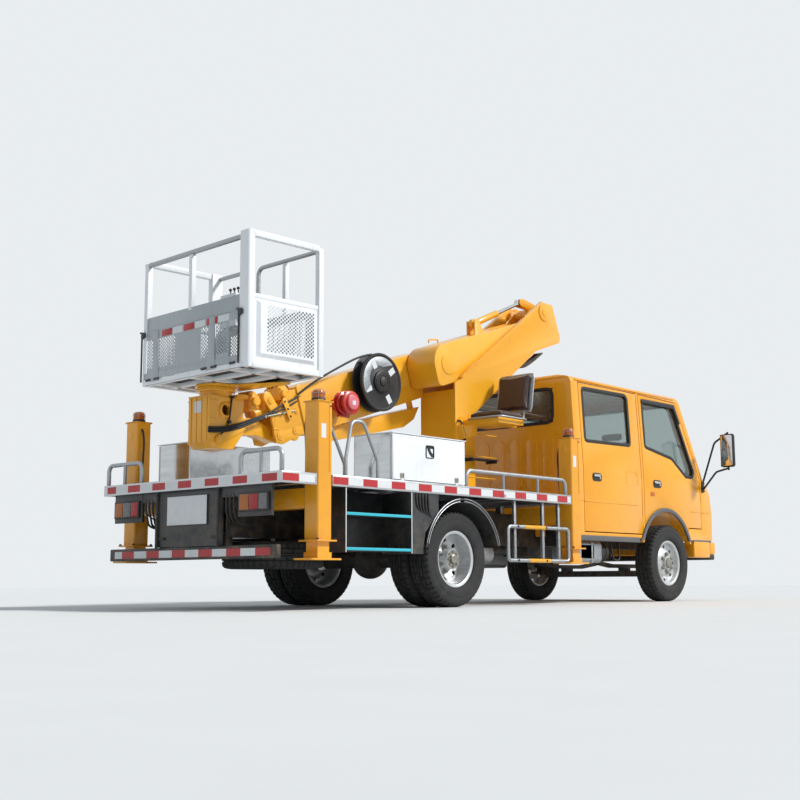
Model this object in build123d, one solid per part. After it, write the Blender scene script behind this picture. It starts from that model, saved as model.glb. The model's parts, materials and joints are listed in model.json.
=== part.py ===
"""Cherry picker truck: a light double-cab lorry with a flat deck, four outrigger jacks, a fixed
goose-neck turret, a luffing and telescoping boom and a self-levelling basket, parked with the
boom laid down over the tail.

Millimetres. X forward, Y left, Z up. All the sizes below count X from the rear axle, and the
whole model is moved at the end so that its origin is on the ground under the middle of its box.
"""
import os
from math import atan2, cos, degrees, hypot, radians, sin

from build123d import *

# Overall places along the truck
WHEELBASE = 3360
DECK_REAR = -1922
DECK_FRONT = 1530
CAB_REAR = 1785
CAB_FRONT = 4268
BUMPER_FRONT = 4312
ORIGIN_X = (DECK_REAR + BUMPER_FRONT) / 2

# Wheels
TYRE_R = 370
TYRE_W = 195
RIM_R = 218
FRONT_WHEEL_Y = 772
TWIN_INNER_Y = 622
TWIN_OUTER_Y = 832
KINGPIN_Y = 640
SPINDLE_R = 30
RUNNING_GAP = 0.05
SEAT = 0.3

# Chassis
RAIL_Y = 375
RAIL_Z0, RAIL_Z1 = 510, 690
RAIL_FLANGE = 60
RAIL_WALL = 7
SUBFRAME_H = 100
FRONT_SPRING_Z = 330
REAR_SPRING_Z = 440

# Deck
DECK_HALF = 1000
DECK_TOP = 932
DECK_EDGE_H = 80
DECK_PLATE = 5
PLATE_HOLE_PITCH, PLATE_HOLE_Z, PLATE_HOLE_R = 210, 770, 3.5
DECK_BEAMS = (-1760, -1330, -880, 480, 720, 1290)

# Cab
CAB_HALF = 850
CAB_SILL = 600
CAB_ROOF = 2105
BELT_Z = 1200
WALL = 45
DOOR_GAP = 10
HINGE_Y = 845
GLASS_IN = 16
GLASS_T = 5
ARCH_X, ARCH_Z, ARCH_R = 3330, 400, 470
FLARE = 30

# Outriggers
COLUMN_X = 68
COLUMN_Y0, COLUMN_Y1 = 862, 1000
COLUMN_Z0, COLUMN_Z1 = 470, 1430
COLUMN_WALL = 8
JACK_GAP = 5
FOOT_Z = 345
FOOT_T = 12
COLUMNS = {"rear_right": (-1518, -1), "rear_left": (-1665, 1),
           "front_right": (1552, -1), "front_left": (1552, 1)}

# Turret
TURRET_Y = 200
TURRET_WALL = 14
TURRET_REAR = 880
TURRET_Z0 = 1010
SLEW_X = 1010

# Boom
PIVOT_X, PIVOT_Z = 2265, 2797
PITCH = 18.0
PIVOT_R = 45
ROOT_R = 60
BOX_Y0, BOX_Y1 = -178, 140
BOX_TOP, BOX_BOTTOM = -35, -387
NOSE_S = 1776
ARM_Y0, ARM_Y1 = 152, 448
ARM_TOP, ARM_BOTTOM = -75, -475
ARM_S0, ARM_S1 = 1505, 3150
ARM_WALL = 8
SLIDE_GAP = 6
LEVEL_X, LEVEL_Z = -862, 1345
SWING_X, SWING_Y = -1420, 300
SWING_TOP = 1657

# Basket, in its own frame before it is turned
BASKET_X, BASKET_Y = -1452, 86
BASKET_YAW = -3.3
BASKET_L, BASKET_W = 710, 1314
BASKET_Z0, BASKET_Z1 = 1697, 2692
BASKET_TUBE = 40

# Cylinders, each from its base pin to its rod's eye, as (x, z)
LUFF_BASE = (960, 1600)
LUFF_EYE = (1950, 2340)
LUFF_BARREL = 720
LUFF_Y = -10
LEVEL_BASE = (1375, 2567)
LEVEL_EYE = (2100, 2885)
LEVEL_BARREL = 390
LEVEL_Y = -20
CYLINDER_PIN = 22

# Toolboxes
BOX_X0, BOX_X1 = -818, 24
BOX_DEPTH = 370
BOX_Z1 = 1280
BOX_WALL = 12
# The left toolbox stands this far back from the right one's place.
LEFT_BOX_SHIFT = -602
BOX_LUGS = (BOX_X0 + 90, BOX_X1 - 120)


def block(x0, x1, y0, y1, z0, z1):
    return Pos((x0 + x1) / 2, (y0 + y1) / 2, (z0 + z1) / 2) * Box(x1 - x0, y1 - y0, z1 - z0)


def side_slab(points, y0, y1):
    """An outline of (x, z) points, drawn out across the truck from y0 to y1."""
    face = Face(Wire.make_polygon([Vector(x, y0, z) for x, z in points]))
    return Solid.extrude(face, Vector(0, y1 - y0, 0))


def front_slab(points, x0, x1):
    """An outline of (y, z) points, drawn out along the truck from x0 to x1."""
    face = Face(Wire.make_polygon([Vector(x0, y, z) for y, z in points]))
    return Solid.extrude(face, Vector(x1 - x0, 0, 0))


def rod(start, end, radius):
    a, b = Vector(*start), Vector(*end)
    return Solid.make_cylinder(radius, (b - a).length, Plane(origin=a, z_dir=b - a))


def cross_rod(x, z, radius, y0, y1):
    return rod((x, y0, z), (x, y1, z), radius)


def bent_tube(points, radius, bend):
    """A round tube along straight runs with equal bends."""
    path = FilletPolyline(*points, radius=bend)
    start = Plane(origin=path @ 0, z_dir=path % 0)
    return sweep(start * Circle(radius), path=path)


def ring(x, z, outer, inner, y0, y1):
    return cross_rod(x, z, outer, y0, y1) - cross_rod(x, z, inner, y0 - 1, y1 + 1)


def mirrored(shape):
    return mirror(shape, about=Plane.XZ)


def both(shape):
    return [shape, mirrored(shape)]


def fuse(first, *others):
    result = first
    for other in others:
        result = result + other
    return result


def save(node, *shapes):
    solids = []
    for shape in shapes:
        for solid in shape.solids():
            solids.append(Pos(-ORIGIN_X, 0, 0) * solid)
    export_step(Compound(solids), f"parts/{node}.step")


# Chassis

def chassis_frame():
    z0, z1 = RAIL_Z0, RAIL_Z1
    web, flange = RAIL_WALL, RAIL_FLANGE
    channel = [(RAIL_Y, z0), (RAIL_Y, z1), (RAIL_Y - flange, z1), (RAIL_Y - flange, z1 - web),
               (RAIL_Y - web, z1 - web), (RAIL_Y - web, z0 + web), (RAIL_Y - flange, z0 + web),
               (RAIL_Y - flange, z0)]
    rail = front_slab(channel, DECK_REAR + 60, 4180)
    frame = fuse(rail, mirrored(rail))
    for x in (-1790, -700, 620, 1900, 4060):
        frame += block(x - 40, x + 40, -RAIL_Y + web, RAIL_Y - web, z0 + 30, z1 - 30)
    runner = block(DECK_REAR + 60, DECK_FRONT + 160, RAIL_Y - flange, RAIL_Y, z1, z1 + SUBFRAME_H)
    return fuse(frame, runner, mirrored(runner))


def leaf_springs():
    springs = []
    for x, z, span in ((WHEELBASE, FRONT_SPRING_Z, 1100), (0, REAR_SPRING_Z, 1200)):
        half = span / 2
        leaves = side_slab([(x - half, z + 50), (x - half + 30, z + 30), (x - 250, z - 4),
                            (x + 250, z - 4),
                            (x + half - 30, z + 30), (x + half, z + 50), (x + half - 40, z + 62),
                            (x + 250, z + 34), (x - 250, z + 34), (x - half + 40, z + 62)],
                           RAIL_Y - 60, RAIL_Y)
        for end in (x - half + 10, x + half - 10):
            leaves += block(end - 25, end + 25, RAIL_Y - 60, RAIL_Y, z + 40, RAIL_Z0)
        springs += both(leaves)
    return springs


def axles():
    beam_z = 270
    beam = block(WHEELBASE - 35, WHEELBASE + 35, -KINGPIN_Y + 60, KINGPIN_Y - 60, beam_z - 30,
                 beam_z + 30)
    pad_y = RAIL_Y - 30
    for side in (-1, 1):
        beam += block(WHEELBASE - 60, WHEELBASE + 60, side * pad_y - 35, side * pad_y + 35, beam_z,
                      FRONT_SPRING_Z - 4)
        end = side * KINGPIN_Y
        beam += rod((WHEELBASE, end, TYRE_R - 60), (WHEELBASE, end, TYRE_R + 60), 36)
        y0, y1 = sorted((end - side * 50, side * 520))
        beam += block(WHEELBASE - 35, WHEELBASE + 35, y0, y1, beam_z - 30, TYRE_R + 30)
        y0, y1 = sorted((end, end - side * 60))
        beam += block(WHEELBASE - 30, WHEELBASE + 30, y0, y1, TYRE_R - 50, TYRE_R + 30)
    for side in (-1, 1):
        beam -= rod((WHEELBASE, side * KINGPIN_Y, 200), (WHEELBASE, side * KINGPIN_Y, 500),
                    18 + RUNNING_GAP)
    housing = cross_rod(0, TYRE_R, 62, -500, 500)
    housing += cross_rod(0, TYRE_R, 40, -TWIN_OUTER_Y - 40, TWIN_OUTER_Y + 40)
    bowl = Pos(0, 0, TYRE_R) * Sphere(150)
    housing += bowl & block(-170, 170, -170, 170, 200, RAIL_Z0 - 10)
    housing += rod((0, 0, TYRE_R), (230, 0, TYRE_R + 20), 70)
    for side in (-1, 1):
        y = side * (RAIL_Y - 30)
        housing += block(-60, 60, y - 35, y + 35, TYRE_R, REAR_SPRING_Z - 4)
    return beam, housing


def drivetrain():
    block_engine = block(2560, 3300, -230, 230, 400, 800)
    block_engine = fillet(block_engine.edges().filter_by(Axis.X), 30)
    gearbox = side_slab([(2561, 420), (2561, 680), (2300, 620), (2000, 560), (2000, 430), (2300, 420)],
                        -140, 140)
    shaft = rod((2001, 0, 492), (232, 0, TYRE_R + 22), 38)
    mounts = []
    for side in (-1, 1):
        y0, y1 = sorted((side * 225, side * (RAIL_Y - RAIL_WALL)))
        mounts.append(block(2700, 2770, y0, y1, 560, 600))
    return fuse(block_engine, gearbox, shaft, *mounts)


# Wheels

def tyre(y_mid, half=TYRE_W / 2):
    crown = TYRE_R
    shoulder = [(RIM_R - 11.7, 0.64), (RIM_R + 4, 0.70), (RIM_R + 8, 0.86), (RIM_R + 72, 1.0),
                (crown - 40, 0.97),
                (crown - 12, 0.80), (crown, 0.55)]
    profile = [(r, -half * share) for r, share in shoulder]
    profile += [(r, half * share) for r, share in reversed(shoulder)]
    face = Face(Wire.make_polygon([Vector(r, w, 0) for r, w in profile]))
    solid = revolve(face, Axis.Y)
    return Pos(0, y_mid, TYRE_R) * solid


def rim(outline, holes, hole_circle, hole_r, hole_w):
    """A pressed steel wheel turned from an (radius, width) outline, outer side towards minus Y."""
    face = Face(Wire.make_polygon([Vector(r, w, 0) for r, w in outline]))
    wheel = revolve(face, Axis.Y)
    for index in range(holes):
        turn = 360 / holes * index
        cutter = rod((hole_circle, hole_w - 60, 0), (hole_circle, hole_w + 60, 0), hole_r)
        wheel -= Rot(0, turn, 0) * cutter
    return wheel


def front_rim():
    bore = SPINDLE_R + RUNNING_GAP
    half = TYRE_W / 2
    outline = [(bore, 40), (bore, -70), (62, -70), (66, -48), (112, -50), (150, -22), (188, -30),
               (196, -half * 0.70), (RIM_R, -half * 0.78), (RIM_R + 2, -half * 0.72), (206, -half * 0.66),
               (206, half * 0.66), (RIM_R + 2, half * 0.72), (RIM_R, half * 0.78), (196, half * 0.70),
               (190, -16), (148, -8), (110, -36), (60, -34), (60, 40)]
    return rim(outline, 8, 160, 17, -20)


def rear_outer_rim():
    bore = 40 + RUNNING_GAP
    half = TYRE_W / 2
    outline = [(bore, 105), (bore, -48), (74, -48), (78, -30), (74, 40), (118, 52), (150, 30), (186, 34),
               (196, -half * 0.70), (RIM_R, -half * 0.78), (RIM_R + 2, -half * 0.72), (206, -half * 0.66),
               (206, half * 0.66), (RIM_R + 2, half * 0.72), (RIM_R, half * 0.78), (194, half * 0.70),
               (190, 46), (150, 42), (118, 66), (74, 66), (74, 105)]
    return rim(outline, 8, 150, 17, 38)


def rear_inner_rim():
    return mirrored(rear_outer_rim())


def wheels():
    right_front = Pos(0, -FRONT_WHEEL_Y, TYRE_R) * front_rim()
    save("front_rim_right", Pos(WHEELBASE, 0, 0) * right_front)
    save("front_rim_left", Pos(WHEELBASE, 0, 0) * mirrored(right_front))
    save("front_tyre_right", Pos(WHEELBASE, 0, 0) * tyre(-FRONT_WHEEL_Y))
    save("front_tyre_left", Pos(WHEELBASE, 0, 0) * tyre(FRONT_WHEEL_Y))
    twin = fuse(Pos(0, -TWIN_OUTER_Y, TYRE_R) * rear_outer_rim(),
                Pos(0, -TWIN_INNER_Y, TYRE_R) * rear_inner_rim())
    save("rear_rims_right", twin)
    save("rear_rims_left", mirrored(twin))
    save("rear_tyres_right", tyre(-TWIN_OUTER_Y), tyre(-TWIN_INNER_Y))
    save("rear_tyres_left", tyre(TWIN_OUTER_Y), tyre(TWIN_INNER_Y))


def knuckle():
    """The right steering knuckle: two ears round the kingpin, the spindle and the steering arm."""
    x, y, z = WHEELBASE, -KINGPIN_Y, TYRE_R
    body = rod((x, y, z + 62), (x, y, z + 100), 38)
    body += rod((x, y, z - 100), (x, y, z - 62), 38)
    body += rod((x, y, z - 100), (x, y, z + 100), 18)
    web_y0, web_y1 = y - 62, y - 42
    body += block(x - 38, x + 38, web_y0, web_y1, z - 100, z + 100)
    for z0, z1 in ((z + 62, z + 100), (z - 100, z - 62)):
        body += block(x - 34, x + 34, web_y0, y, z0, z1)
    body += cross_rod(x, z, 46, web_y0 - 8, web_y0)
    body += cross_rod(x, z, SPINDLE_R, -FRONT_WHEEL_Y - 66, web_y0)
    body += block(x - 200, x - 25, y - 24, y + 2, z - 96, z - 72)
    return body


# Deck

def deck():
    edge = 40
    z0 = DECK_TOP - DECK_EDGE_H
    plate = block(DECK_REAR + edge, DECK_FRONT, -DECK_HALF + edge, DECK_HALF - edge,
                  DECK_TOP - DECK_PLATE, DECK_TOP)
    plate -= block(774, 1260, -260, 260, z0 - 50, DECK_TOP + 5)
    frame = plate
    for side in (-1, 1):
        y0, y1 = sorted((side * DECK_HALF, side * (DECK_HALF - edge)))
        frame += block(DECK_REAR, DECK_FRONT, y0, y1, z0, DECK_TOP)
    frame += block(DECK_REAR, DECK_REAR + edge, -DECK_HALF, DECK_HALF, z0, DECK_TOP)
    frame += block(DECK_FRONT - edge, DECK_FRONT, -DECK_HALF, DECK_HALF, z0, DECK_TOP)
    for x in DECK_BEAMS:
        frame += block(x, x + 50, -DECK_HALF + edge, DECK_HALF - edge, z0, DECK_TOP - DECK_PLATE)
    runner_top = RAIL_Z1 + SUBFRAME_H
    for x in DECK_BEAMS:
        for side in (-1, 1):
            y0, y1 = sorted((side * RAIL_Y, side * (RAIL_Y - RAIL_FLANGE)))
            frame += block(x, x + 50, y0, y1, runner_top, z0)
    for x_mid, side in COLUMNS.values():
        y0, y1 = sorted((side * (COLUMN_Y0 - 8), side * (DECK_HALF + 10)))
        frame -= block(x_mid - COLUMN_X - 8, x_mid + COLUMN_X + 8, y0, y1, z0 - 1, DECK_TOP + 1)
    return frame


def rear_panel():
    """Posts, centre panel, blank plate board and lamp carriers under the deck's tail."""
    x0, x1 = DECK_REAR + 12, DECK_REAR + 44
    z1 = DECK_TOP - DECK_EDGE_H
    panel = block(x0 + 8, x1, -350, 350, 450, z1)
    panel += block(x0, x0 + 8, -225, 225, 600, 812)
    for y in (-358, 330):
        panel += block(x0 - 4, x1 + 6, y, y + 28, 448.3, z1)
    for side in (-1, 1):
        y0, y1 = sorted((side * 540, side * 880))
        panel += block(x0 + 10, x1, y0, y1, 640, z1)
        y0, y1 = sorted((side * 350, side * 540))
        panel += block(x0 + 14, x1, y0, y1, 780, z1)
        y = side * PLATE_HOLE_PITCH / 2
        panel -= rod((x0 - 1, y, PLATE_HOLE_Z), (x1 + 1, y, PLATE_HOLE_Z), PLATE_HOLE_R)
    return panel


def tail_lamps():
    lamps = []
    x0 = DECK_REAR
    for side in (-1, 1):
        y0, y1 = sorted((side * 560, side * 866))
        lamp = block(x0, DECK_REAR + 22, y0, y1, 672, 802)
        lamps.append(fillet(lamp.edges().filter_by(Axis.X), 14))
    return lamps


def underrun_guards():
    half = 925
    rear = block(-1898, -1858, -half, half, 354, 448)
    for side in (-1, 1):
        y0, y1 = sorted((side * RAIL_Y, side * (RAIL_Y - 50)))
        rear += block(-1858, -1800, y0, y1, 380, RAIL_Z0)
    tubes = [block(560, 1380, -996, -966, z - 22, z + 22) for z in (366, 500, 640)]
    right = fuse(*tubes)
    for x in (700, 1098):
        right += block(x - 18, x + 18, -967, -936, 345, DECK_TOP - DECK_EDGE_H)
    return [rear] + both(right)


def rear_fenders():
    """Half-round mudguards with a raised rim, the side panels and the boarding steps."""
    z_axle, outer, wall = TYRE_R, 455, 5
    guard = ring(0, z_axle, outer, outer - wall, -985, -540)
    guard += ring(0, z_axle, outer + 8, outer - wall, -1000, -985)
    keep = block(-600, 440, -1010, -530, z_axle + 80, 852)
    guard = guard & keep
    flat_top = block(-430, 430, -985, -540, 800, 806) & cross_rod(0, z_axle, outer, -985, -540)
    guard += flat_top
    panel = side_slab([(-612, 400), (-612, 852), (-300, 852), (-300, 720), (-455, 560), (-480, 450),
                       (-480, 400)], -992, -984)
    panel -= cross_rod(0, z_axle, outer - 1, -1000, -980)
    steps = block(-1300, -606, -700, -694, 420, 852)
    steps += block(-1306, -1300, -992, -694, 400, 852)
    steps += block(-612, -606, -992, -694, 400, 852)
    for z in (415, 660):
        steps += block(-1300, -612, -990, -694, z, z + 22)
    return both(fuse(guard, panel, steps))


def deck_rails():
    """Tube rails: the long one ahead of the right toolbox, the tail grab rails and the ladder hoops."""
    r, y = 16, -972
    rails = []
    long_rail = bent_tube([(60, y, DECK_TOP), (60, y, 1060), (1425, y, 1060), (1425, y, DECK_TOP)], r, 60)
    for x in (540, 1015):
        long_rail += rod((x, y, DECK_TOP), (x, y, 1060), r * 0.8)
    rails += both(long_rail)
    grab_x = DECK_REAR + 24
    grab = bent_tube([(grab_x, -560, DECK_TOP), (grab_x, -560, 1085), (grab_x, -975, 1085),
                      (grab_x, -975, DECK_TOP)], r, 50)
    grab += rod((grab_x, -770, DECK_TOP), (grab_x, -770, 1085), r * 0.8)
    rails += both(grab)
    for y_hoop in (-975, -640):
        hoop = bent_tube([(-1290, y_hoop, DECK_TOP), (-1290, y_hoop, 1060), (-1230, y_hoop, 1330),
                          (-1110, y_hoop, 1330), (-960, y_hoop, 1060),
                          (-960, y_hoop, DECK_TOP)], r * 0.8, 60)
        rails.append(hoop)
    return rails


def toolbox():
    """The right toolbox body: open on its outer side, with a frame for the drop door."""
    y0, y1 = -DECK_HALF + 30, -DECK_HALF + 30 + BOX_DEPTH
    body = block(BOX_X0, BOX_X1, y0, y1, DECK_TOP, BOX_Z1)
    body -= block(BOX_X0 + BOX_WALL, BOX_X1 - BOX_WALL, y0 - 1, y1 - BOX_WALL, DECK_TOP + BOX_WALL,
                  BOX_Z1 - BOX_WALL)
    body += block(BOX_X0 - 12, BOX_X1 + 12, y0 - 26, y1, BOX_Z1, BOX_Z1 + 6)
    for x in BOX_LUGS:
        lug = block(x, x + 30, y0 - 26, y0 + 1, DECK_TOP, DECK_TOP + 18)
        body += lug - rod((x - 1, y0 - 20, DECK_TOP + 12), (x + 31, y0 - 20, DECK_TOP + 12),
                          5 + RUNNING_GAP)
    return body


def toolbox_door():
    y0 = -DECK_HALF + 30
    door = block(BOX_X0 + 2, BOX_X1 - 2, y0 - 20, y0 - 6, DECK_TOP + 8, BOX_Z1 - 6)
    for x in BOX_LUGS:
        door -= block(x - 5, x + 35, y0 - 27, y0, DECK_TOP, DECK_TOP + 26)
    door += rod((BOX_X0 + 20, y0 - 20, DECK_TOP + 12), (BOX_X1 - 20, y0 - 20, DECK_TOP + 12), 5)
    latch = block(-438, -368, y0 - 26, y0 - 20, 1120, 1190)
    return door + latch


def side_tanks():
    air = block(1800, 2240, -800, -560, 360, 560)
    air = fillet(air.edges().filter_by(Axis.X), 40)
    fuel = block(1760, 2500, 470, 830, 330, 560)
    fuel = fillet(fuel.edges().filter_by(Axis.X), 50)
    tube_tank = rod((490, -490, 430), (920, -490, 430), 85)
    straps = []
    for tank, y_rail in ((air, -RAIL_Y), (fuel, RAIL_Y), (tube_tank, -RAIL_Y)):
        box = tank.bounding_box()
        inner = box.max.Y if y_rail < 0 else box.min.Y
        y0, y1 = sorted((inner, y_rail))
        for x in (box.min.X + 90, box.max.X - 130):
            z = 500 if tank is tube_tank else RAIL_Z0 + 2
            reach = 80 if tank is tube_tank else 12
            strap = block(x, x + 40, y0 - reach, y1 + reach, z, z + 36)
            straps.append(strap - block(x - 1, x + 41, -RAIL_Y, RAIL_Y, 0, 2000))
    tanks = []
    for index, tank in enumerate((air, fuel, tube_tank)):
        tanks.append(fuse(tank, straps[2 * index], straps[2 * index + 1]))
    return tanks


def spare_wheel():
    x, y, z = -1330, -275, 388
    spare = Pos(x, y, z) * Rot(90, 0, 0) * (Pos(0, 0, -TYRE_R) * tyre(0))
    disc = Solid.make_cylinder(RIM_R - 10, 40, Plane((x, y, z - 10)))
    hanger = block(x - 30, x + 30, -RAIL_Y + RAIL_WALL, RAIL_Y - RAIL_WALL, 520, 545)
    hanger += rod((x, y, z), (x, y, 530), 16)
    return fuse(spare, disc, hanger)


# Outriggers

def column(x_mid, side):
    y0, y1 = sorted((side * COLUMN_Y0, side * COLUMN_Y1))
    outer = block(x_mid - COLUMN_X, x_mid + COLUMN_X, y0, y1, COLUMN_Z0, COLUMN_Z1)
    outer = fillet(outer.edges().filter_by(Axis.Z), 14)
    w = COLUMN_WALL
    outer -= block(x_mid - COLUMN_X + w, x_mid + COLUMN_X - w, y0 + w, y1 - w, COLUMN_Z0 - 1,
                   COLUMN_Z1 - 12)
    slack = JACK_GAP - SEAT
    pad = block(x_mid - COLUMN_X + w, x_mid + COLUMN_X - w, y0 + w, y1 - w, COLUMN_Z0, COLUMN_Z0 + 40)
    pad -= block(x_mid - COLUMN_X + w + slack, x_mid + COLUMN_X - w - slack, y0 + w + slack,
                 y1 - w - slack,
                 COLUMN_Z0 - 1, COLUMN_Z0 + 41)
    cap = block(x_mid - COLUMN_X - 6, x_mid + COLUMN_X + 6, y0 - 6, y1 + 6, COLUMN_Z1, COLUMN_Z1 + 12)
    arm_in, arm_out = side * RAIL_Y, side * COLUMN_Y0
    arm = block(x_mid - 60, x_mid + 60, min(arm_in, arm_out), max(arm_in, arm_out), 700, 840)
    return fuse(outer, pad, cap, arm)


def outrigger_columns():
    return [column(x_mid, side) for x_mid, side in COLUMNS.values()]


def jack_leg(x_mid, side):
    y0, y1 = sorted((side * COLUMN_Y0, side * COLUMN_Y1))
    inset = COLUMN_WALL + JACK_GAP
    x0, x1 = x_mid - COLUMN_X + inset, x_mid + COLUMN_X - inset
    leg = block(x0, x1, y0 + inset, y1 - inset, FOOT_Z + FOOT_T, 1300)
    y_mid = (y0 + y1) / 2
    foot = block(x_mid - 150, x_mid + 150, y_mid - 95, y_mid + 95, FOOT_Z, FOOT_Z + FOOT_T)
    foot = fillet(foot.edges().filter_by(Axis.Z), 25)
    collar = block(x0 - 12, x1 + 12, y0 + inset - 12, y1 - inset + 12, FOOT_Z + FOOT_T,
                   FOOT_Z + FOOT_T + 40)
    return fuse(leg, foot, collar)


def beacons():
    lamps = []
    z = COLUMN_Z1 + 12
    for x_mid, side in COLUMNS.values():
        y = side * (COLUMN_Y0 + COLUMN_Y1) / 2
        lamp = Solid.make_cylinder(48, 18, Plane((x_mid, y, z)))
        lamp += Solid.make_cone(44, 36, 70, Plane((x_mid, y, z + 18)))
        lamps.append(lamp)
    return lamps


# Cab

def cab_side_face():
    outline = [(CAB_REAR, CAB_SILL), (CAB_REAR, 2075), (2400, CAB_ROOF), (3250, CAB_ROOF), (3705, 2070),
               (4112, 1210), (4232, 1085), (CAB_FRONT, 900), (CAB_FRONT - 6, CAB_SILL)]
    face = make_face(Plane.XZ * Polyline(*outline, close=True))
    rounds = [(CAB_REAR, 2075, 60), (3705, 2070, 90), (4112, 1210, 60), (4232, 1085, 80),
              (CAB_FRONT, 900, 120)]
    for x, z, r in rounds:
        corner = face.vertices().sort_by_distance(Vector(x, 0, z))[0]
        face = fillet(corner, r)
    return face


def cab_front_face():
    half = CAB_HALF
    outline = [(-half, CAB_SILL), (-half, BELT_Z), (-805, 2040), (-560, 2090), (0, CAB_ROOF),
               (560, 2090), (805, 2040), (half, BELT_Z), (half, CAB_SILL)]
    face = make_face(Plane.YZ * Polyline(*outline, close=True))
    for side in (-1, 1):
        corner = face.vertices().sort_by_distance(Vector(0, side * 805, 2040))[0]
        face = fillet(corner, 70)
        corner = face.vertices().sort_by_distance(Vector(0, side * half, BELT_Z))[0]
        face = fillet(corner, 300)
    return face


SIDE_FACE = cab_side_face()
FRONT_FACE = cab_front_face()


def cab_hull(depth):
    """The cab's outer form, moved inwards by a depth."""
    side, front = SIDE_FACE, FRONT_FACE
    if depth:
        side = offset(side, amount=-depth, kind=Kind.INTERSECTION)
        front = offset(front, amount=-depth, kind=Kind.INTERSECTION)
    long_way = extrude(side, amount=CAB_HALF + 50, both=True)
    cross_way = Pos(1600, 0, 0) * extrude(front, amount=2800, dir=(1, 0, 0))
    return (long_way & cross_way).solids()[0]


REAR_DOOR = [(1895, 632), (1895, 2002), (2905, 2002), (2905, 632)]
FRONT_DOOR = [(2935, 632), (2935, 2002), (3655, 1990), (4040, 1225), (4052, 1000), (4052, 715),
              (3800, 715), (3700, 632)]
REAR_WINDOW = [(1955, 1455), (1955, 1955), (2700, 1965), (2740, 1930), (2740, 1470)]
FRONT_WINDOW = [(3000, 1480), (3000, 1940), (3610, 1945), (3930, 1300), (3900, 1232), (3760, 1232),
                (3500, 1400)]
WINDSCREEN = [(-720, 1275), (720, 1275), (680, 1985), (-680, 1985)]
BACK_WINDOW = [(-610, 1630), (610, 1630), (610, 1950), (-610, 1950)]


def inset_outline(points, amount):
    face = make_face(Plane.XZ * Polyline(*points, close=True))
    return offset(face, amount=amount, kind=Kind.INTERSECTION)


def side_prism(points, amount, side):
    """A side outline grown by an amount, drawn out through one side wall."""
    face = inset_outline(points, amount)
    y0 = -900 if side < 0 else 700
    return Pos(0, y0, 0) * extrude(face, amount=200, dir=(0, 1, 0))


def arch_cut(radius, side):
    y0, y1 = (-900, -470) if side < 0 else (470, 900)
    return cross_rod(ARCH_X, ARCH_Z, radius, y0, y1)


def door_hinges(edge_x, heights, side):
    """Slim hinges inside the door gap: the pillar's pin and lugs, and the door's eyes."""
    x, y, r = edge_x - DOOR_GAP / 2, side * HINGE_Y, DOOR_GAP / 2 - SEAT
    pillar, eyes = [], []
    for z in heights:
        pillar.append(rod((x, y, z - 45), (x, y, z + 45), 2.5))
        for z0, z1 in ((z - 45, z - 25), (z + 25, z + 45)):
            pillar.append(rod((x, y, z0), (x, y, z1), r))
            pillar.append(block(x, edge_x + 2, y - 2, y + 2, z0, z1))
        eye = rod((x, y, z - 25 + SEAT), (x, y, z + 25 - SEAT), r)
        eye += block(edge_x - DOOR_GAP - 2, x, y - 2, y + 2, z - 25 + SEAT, z + 25 - SEAT)
        eyes.append(eye - rod((x, y, z - 30), (x, y, z + 30), 2.5 + RUNNING_GAP))
    return pillar, eyes


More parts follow.
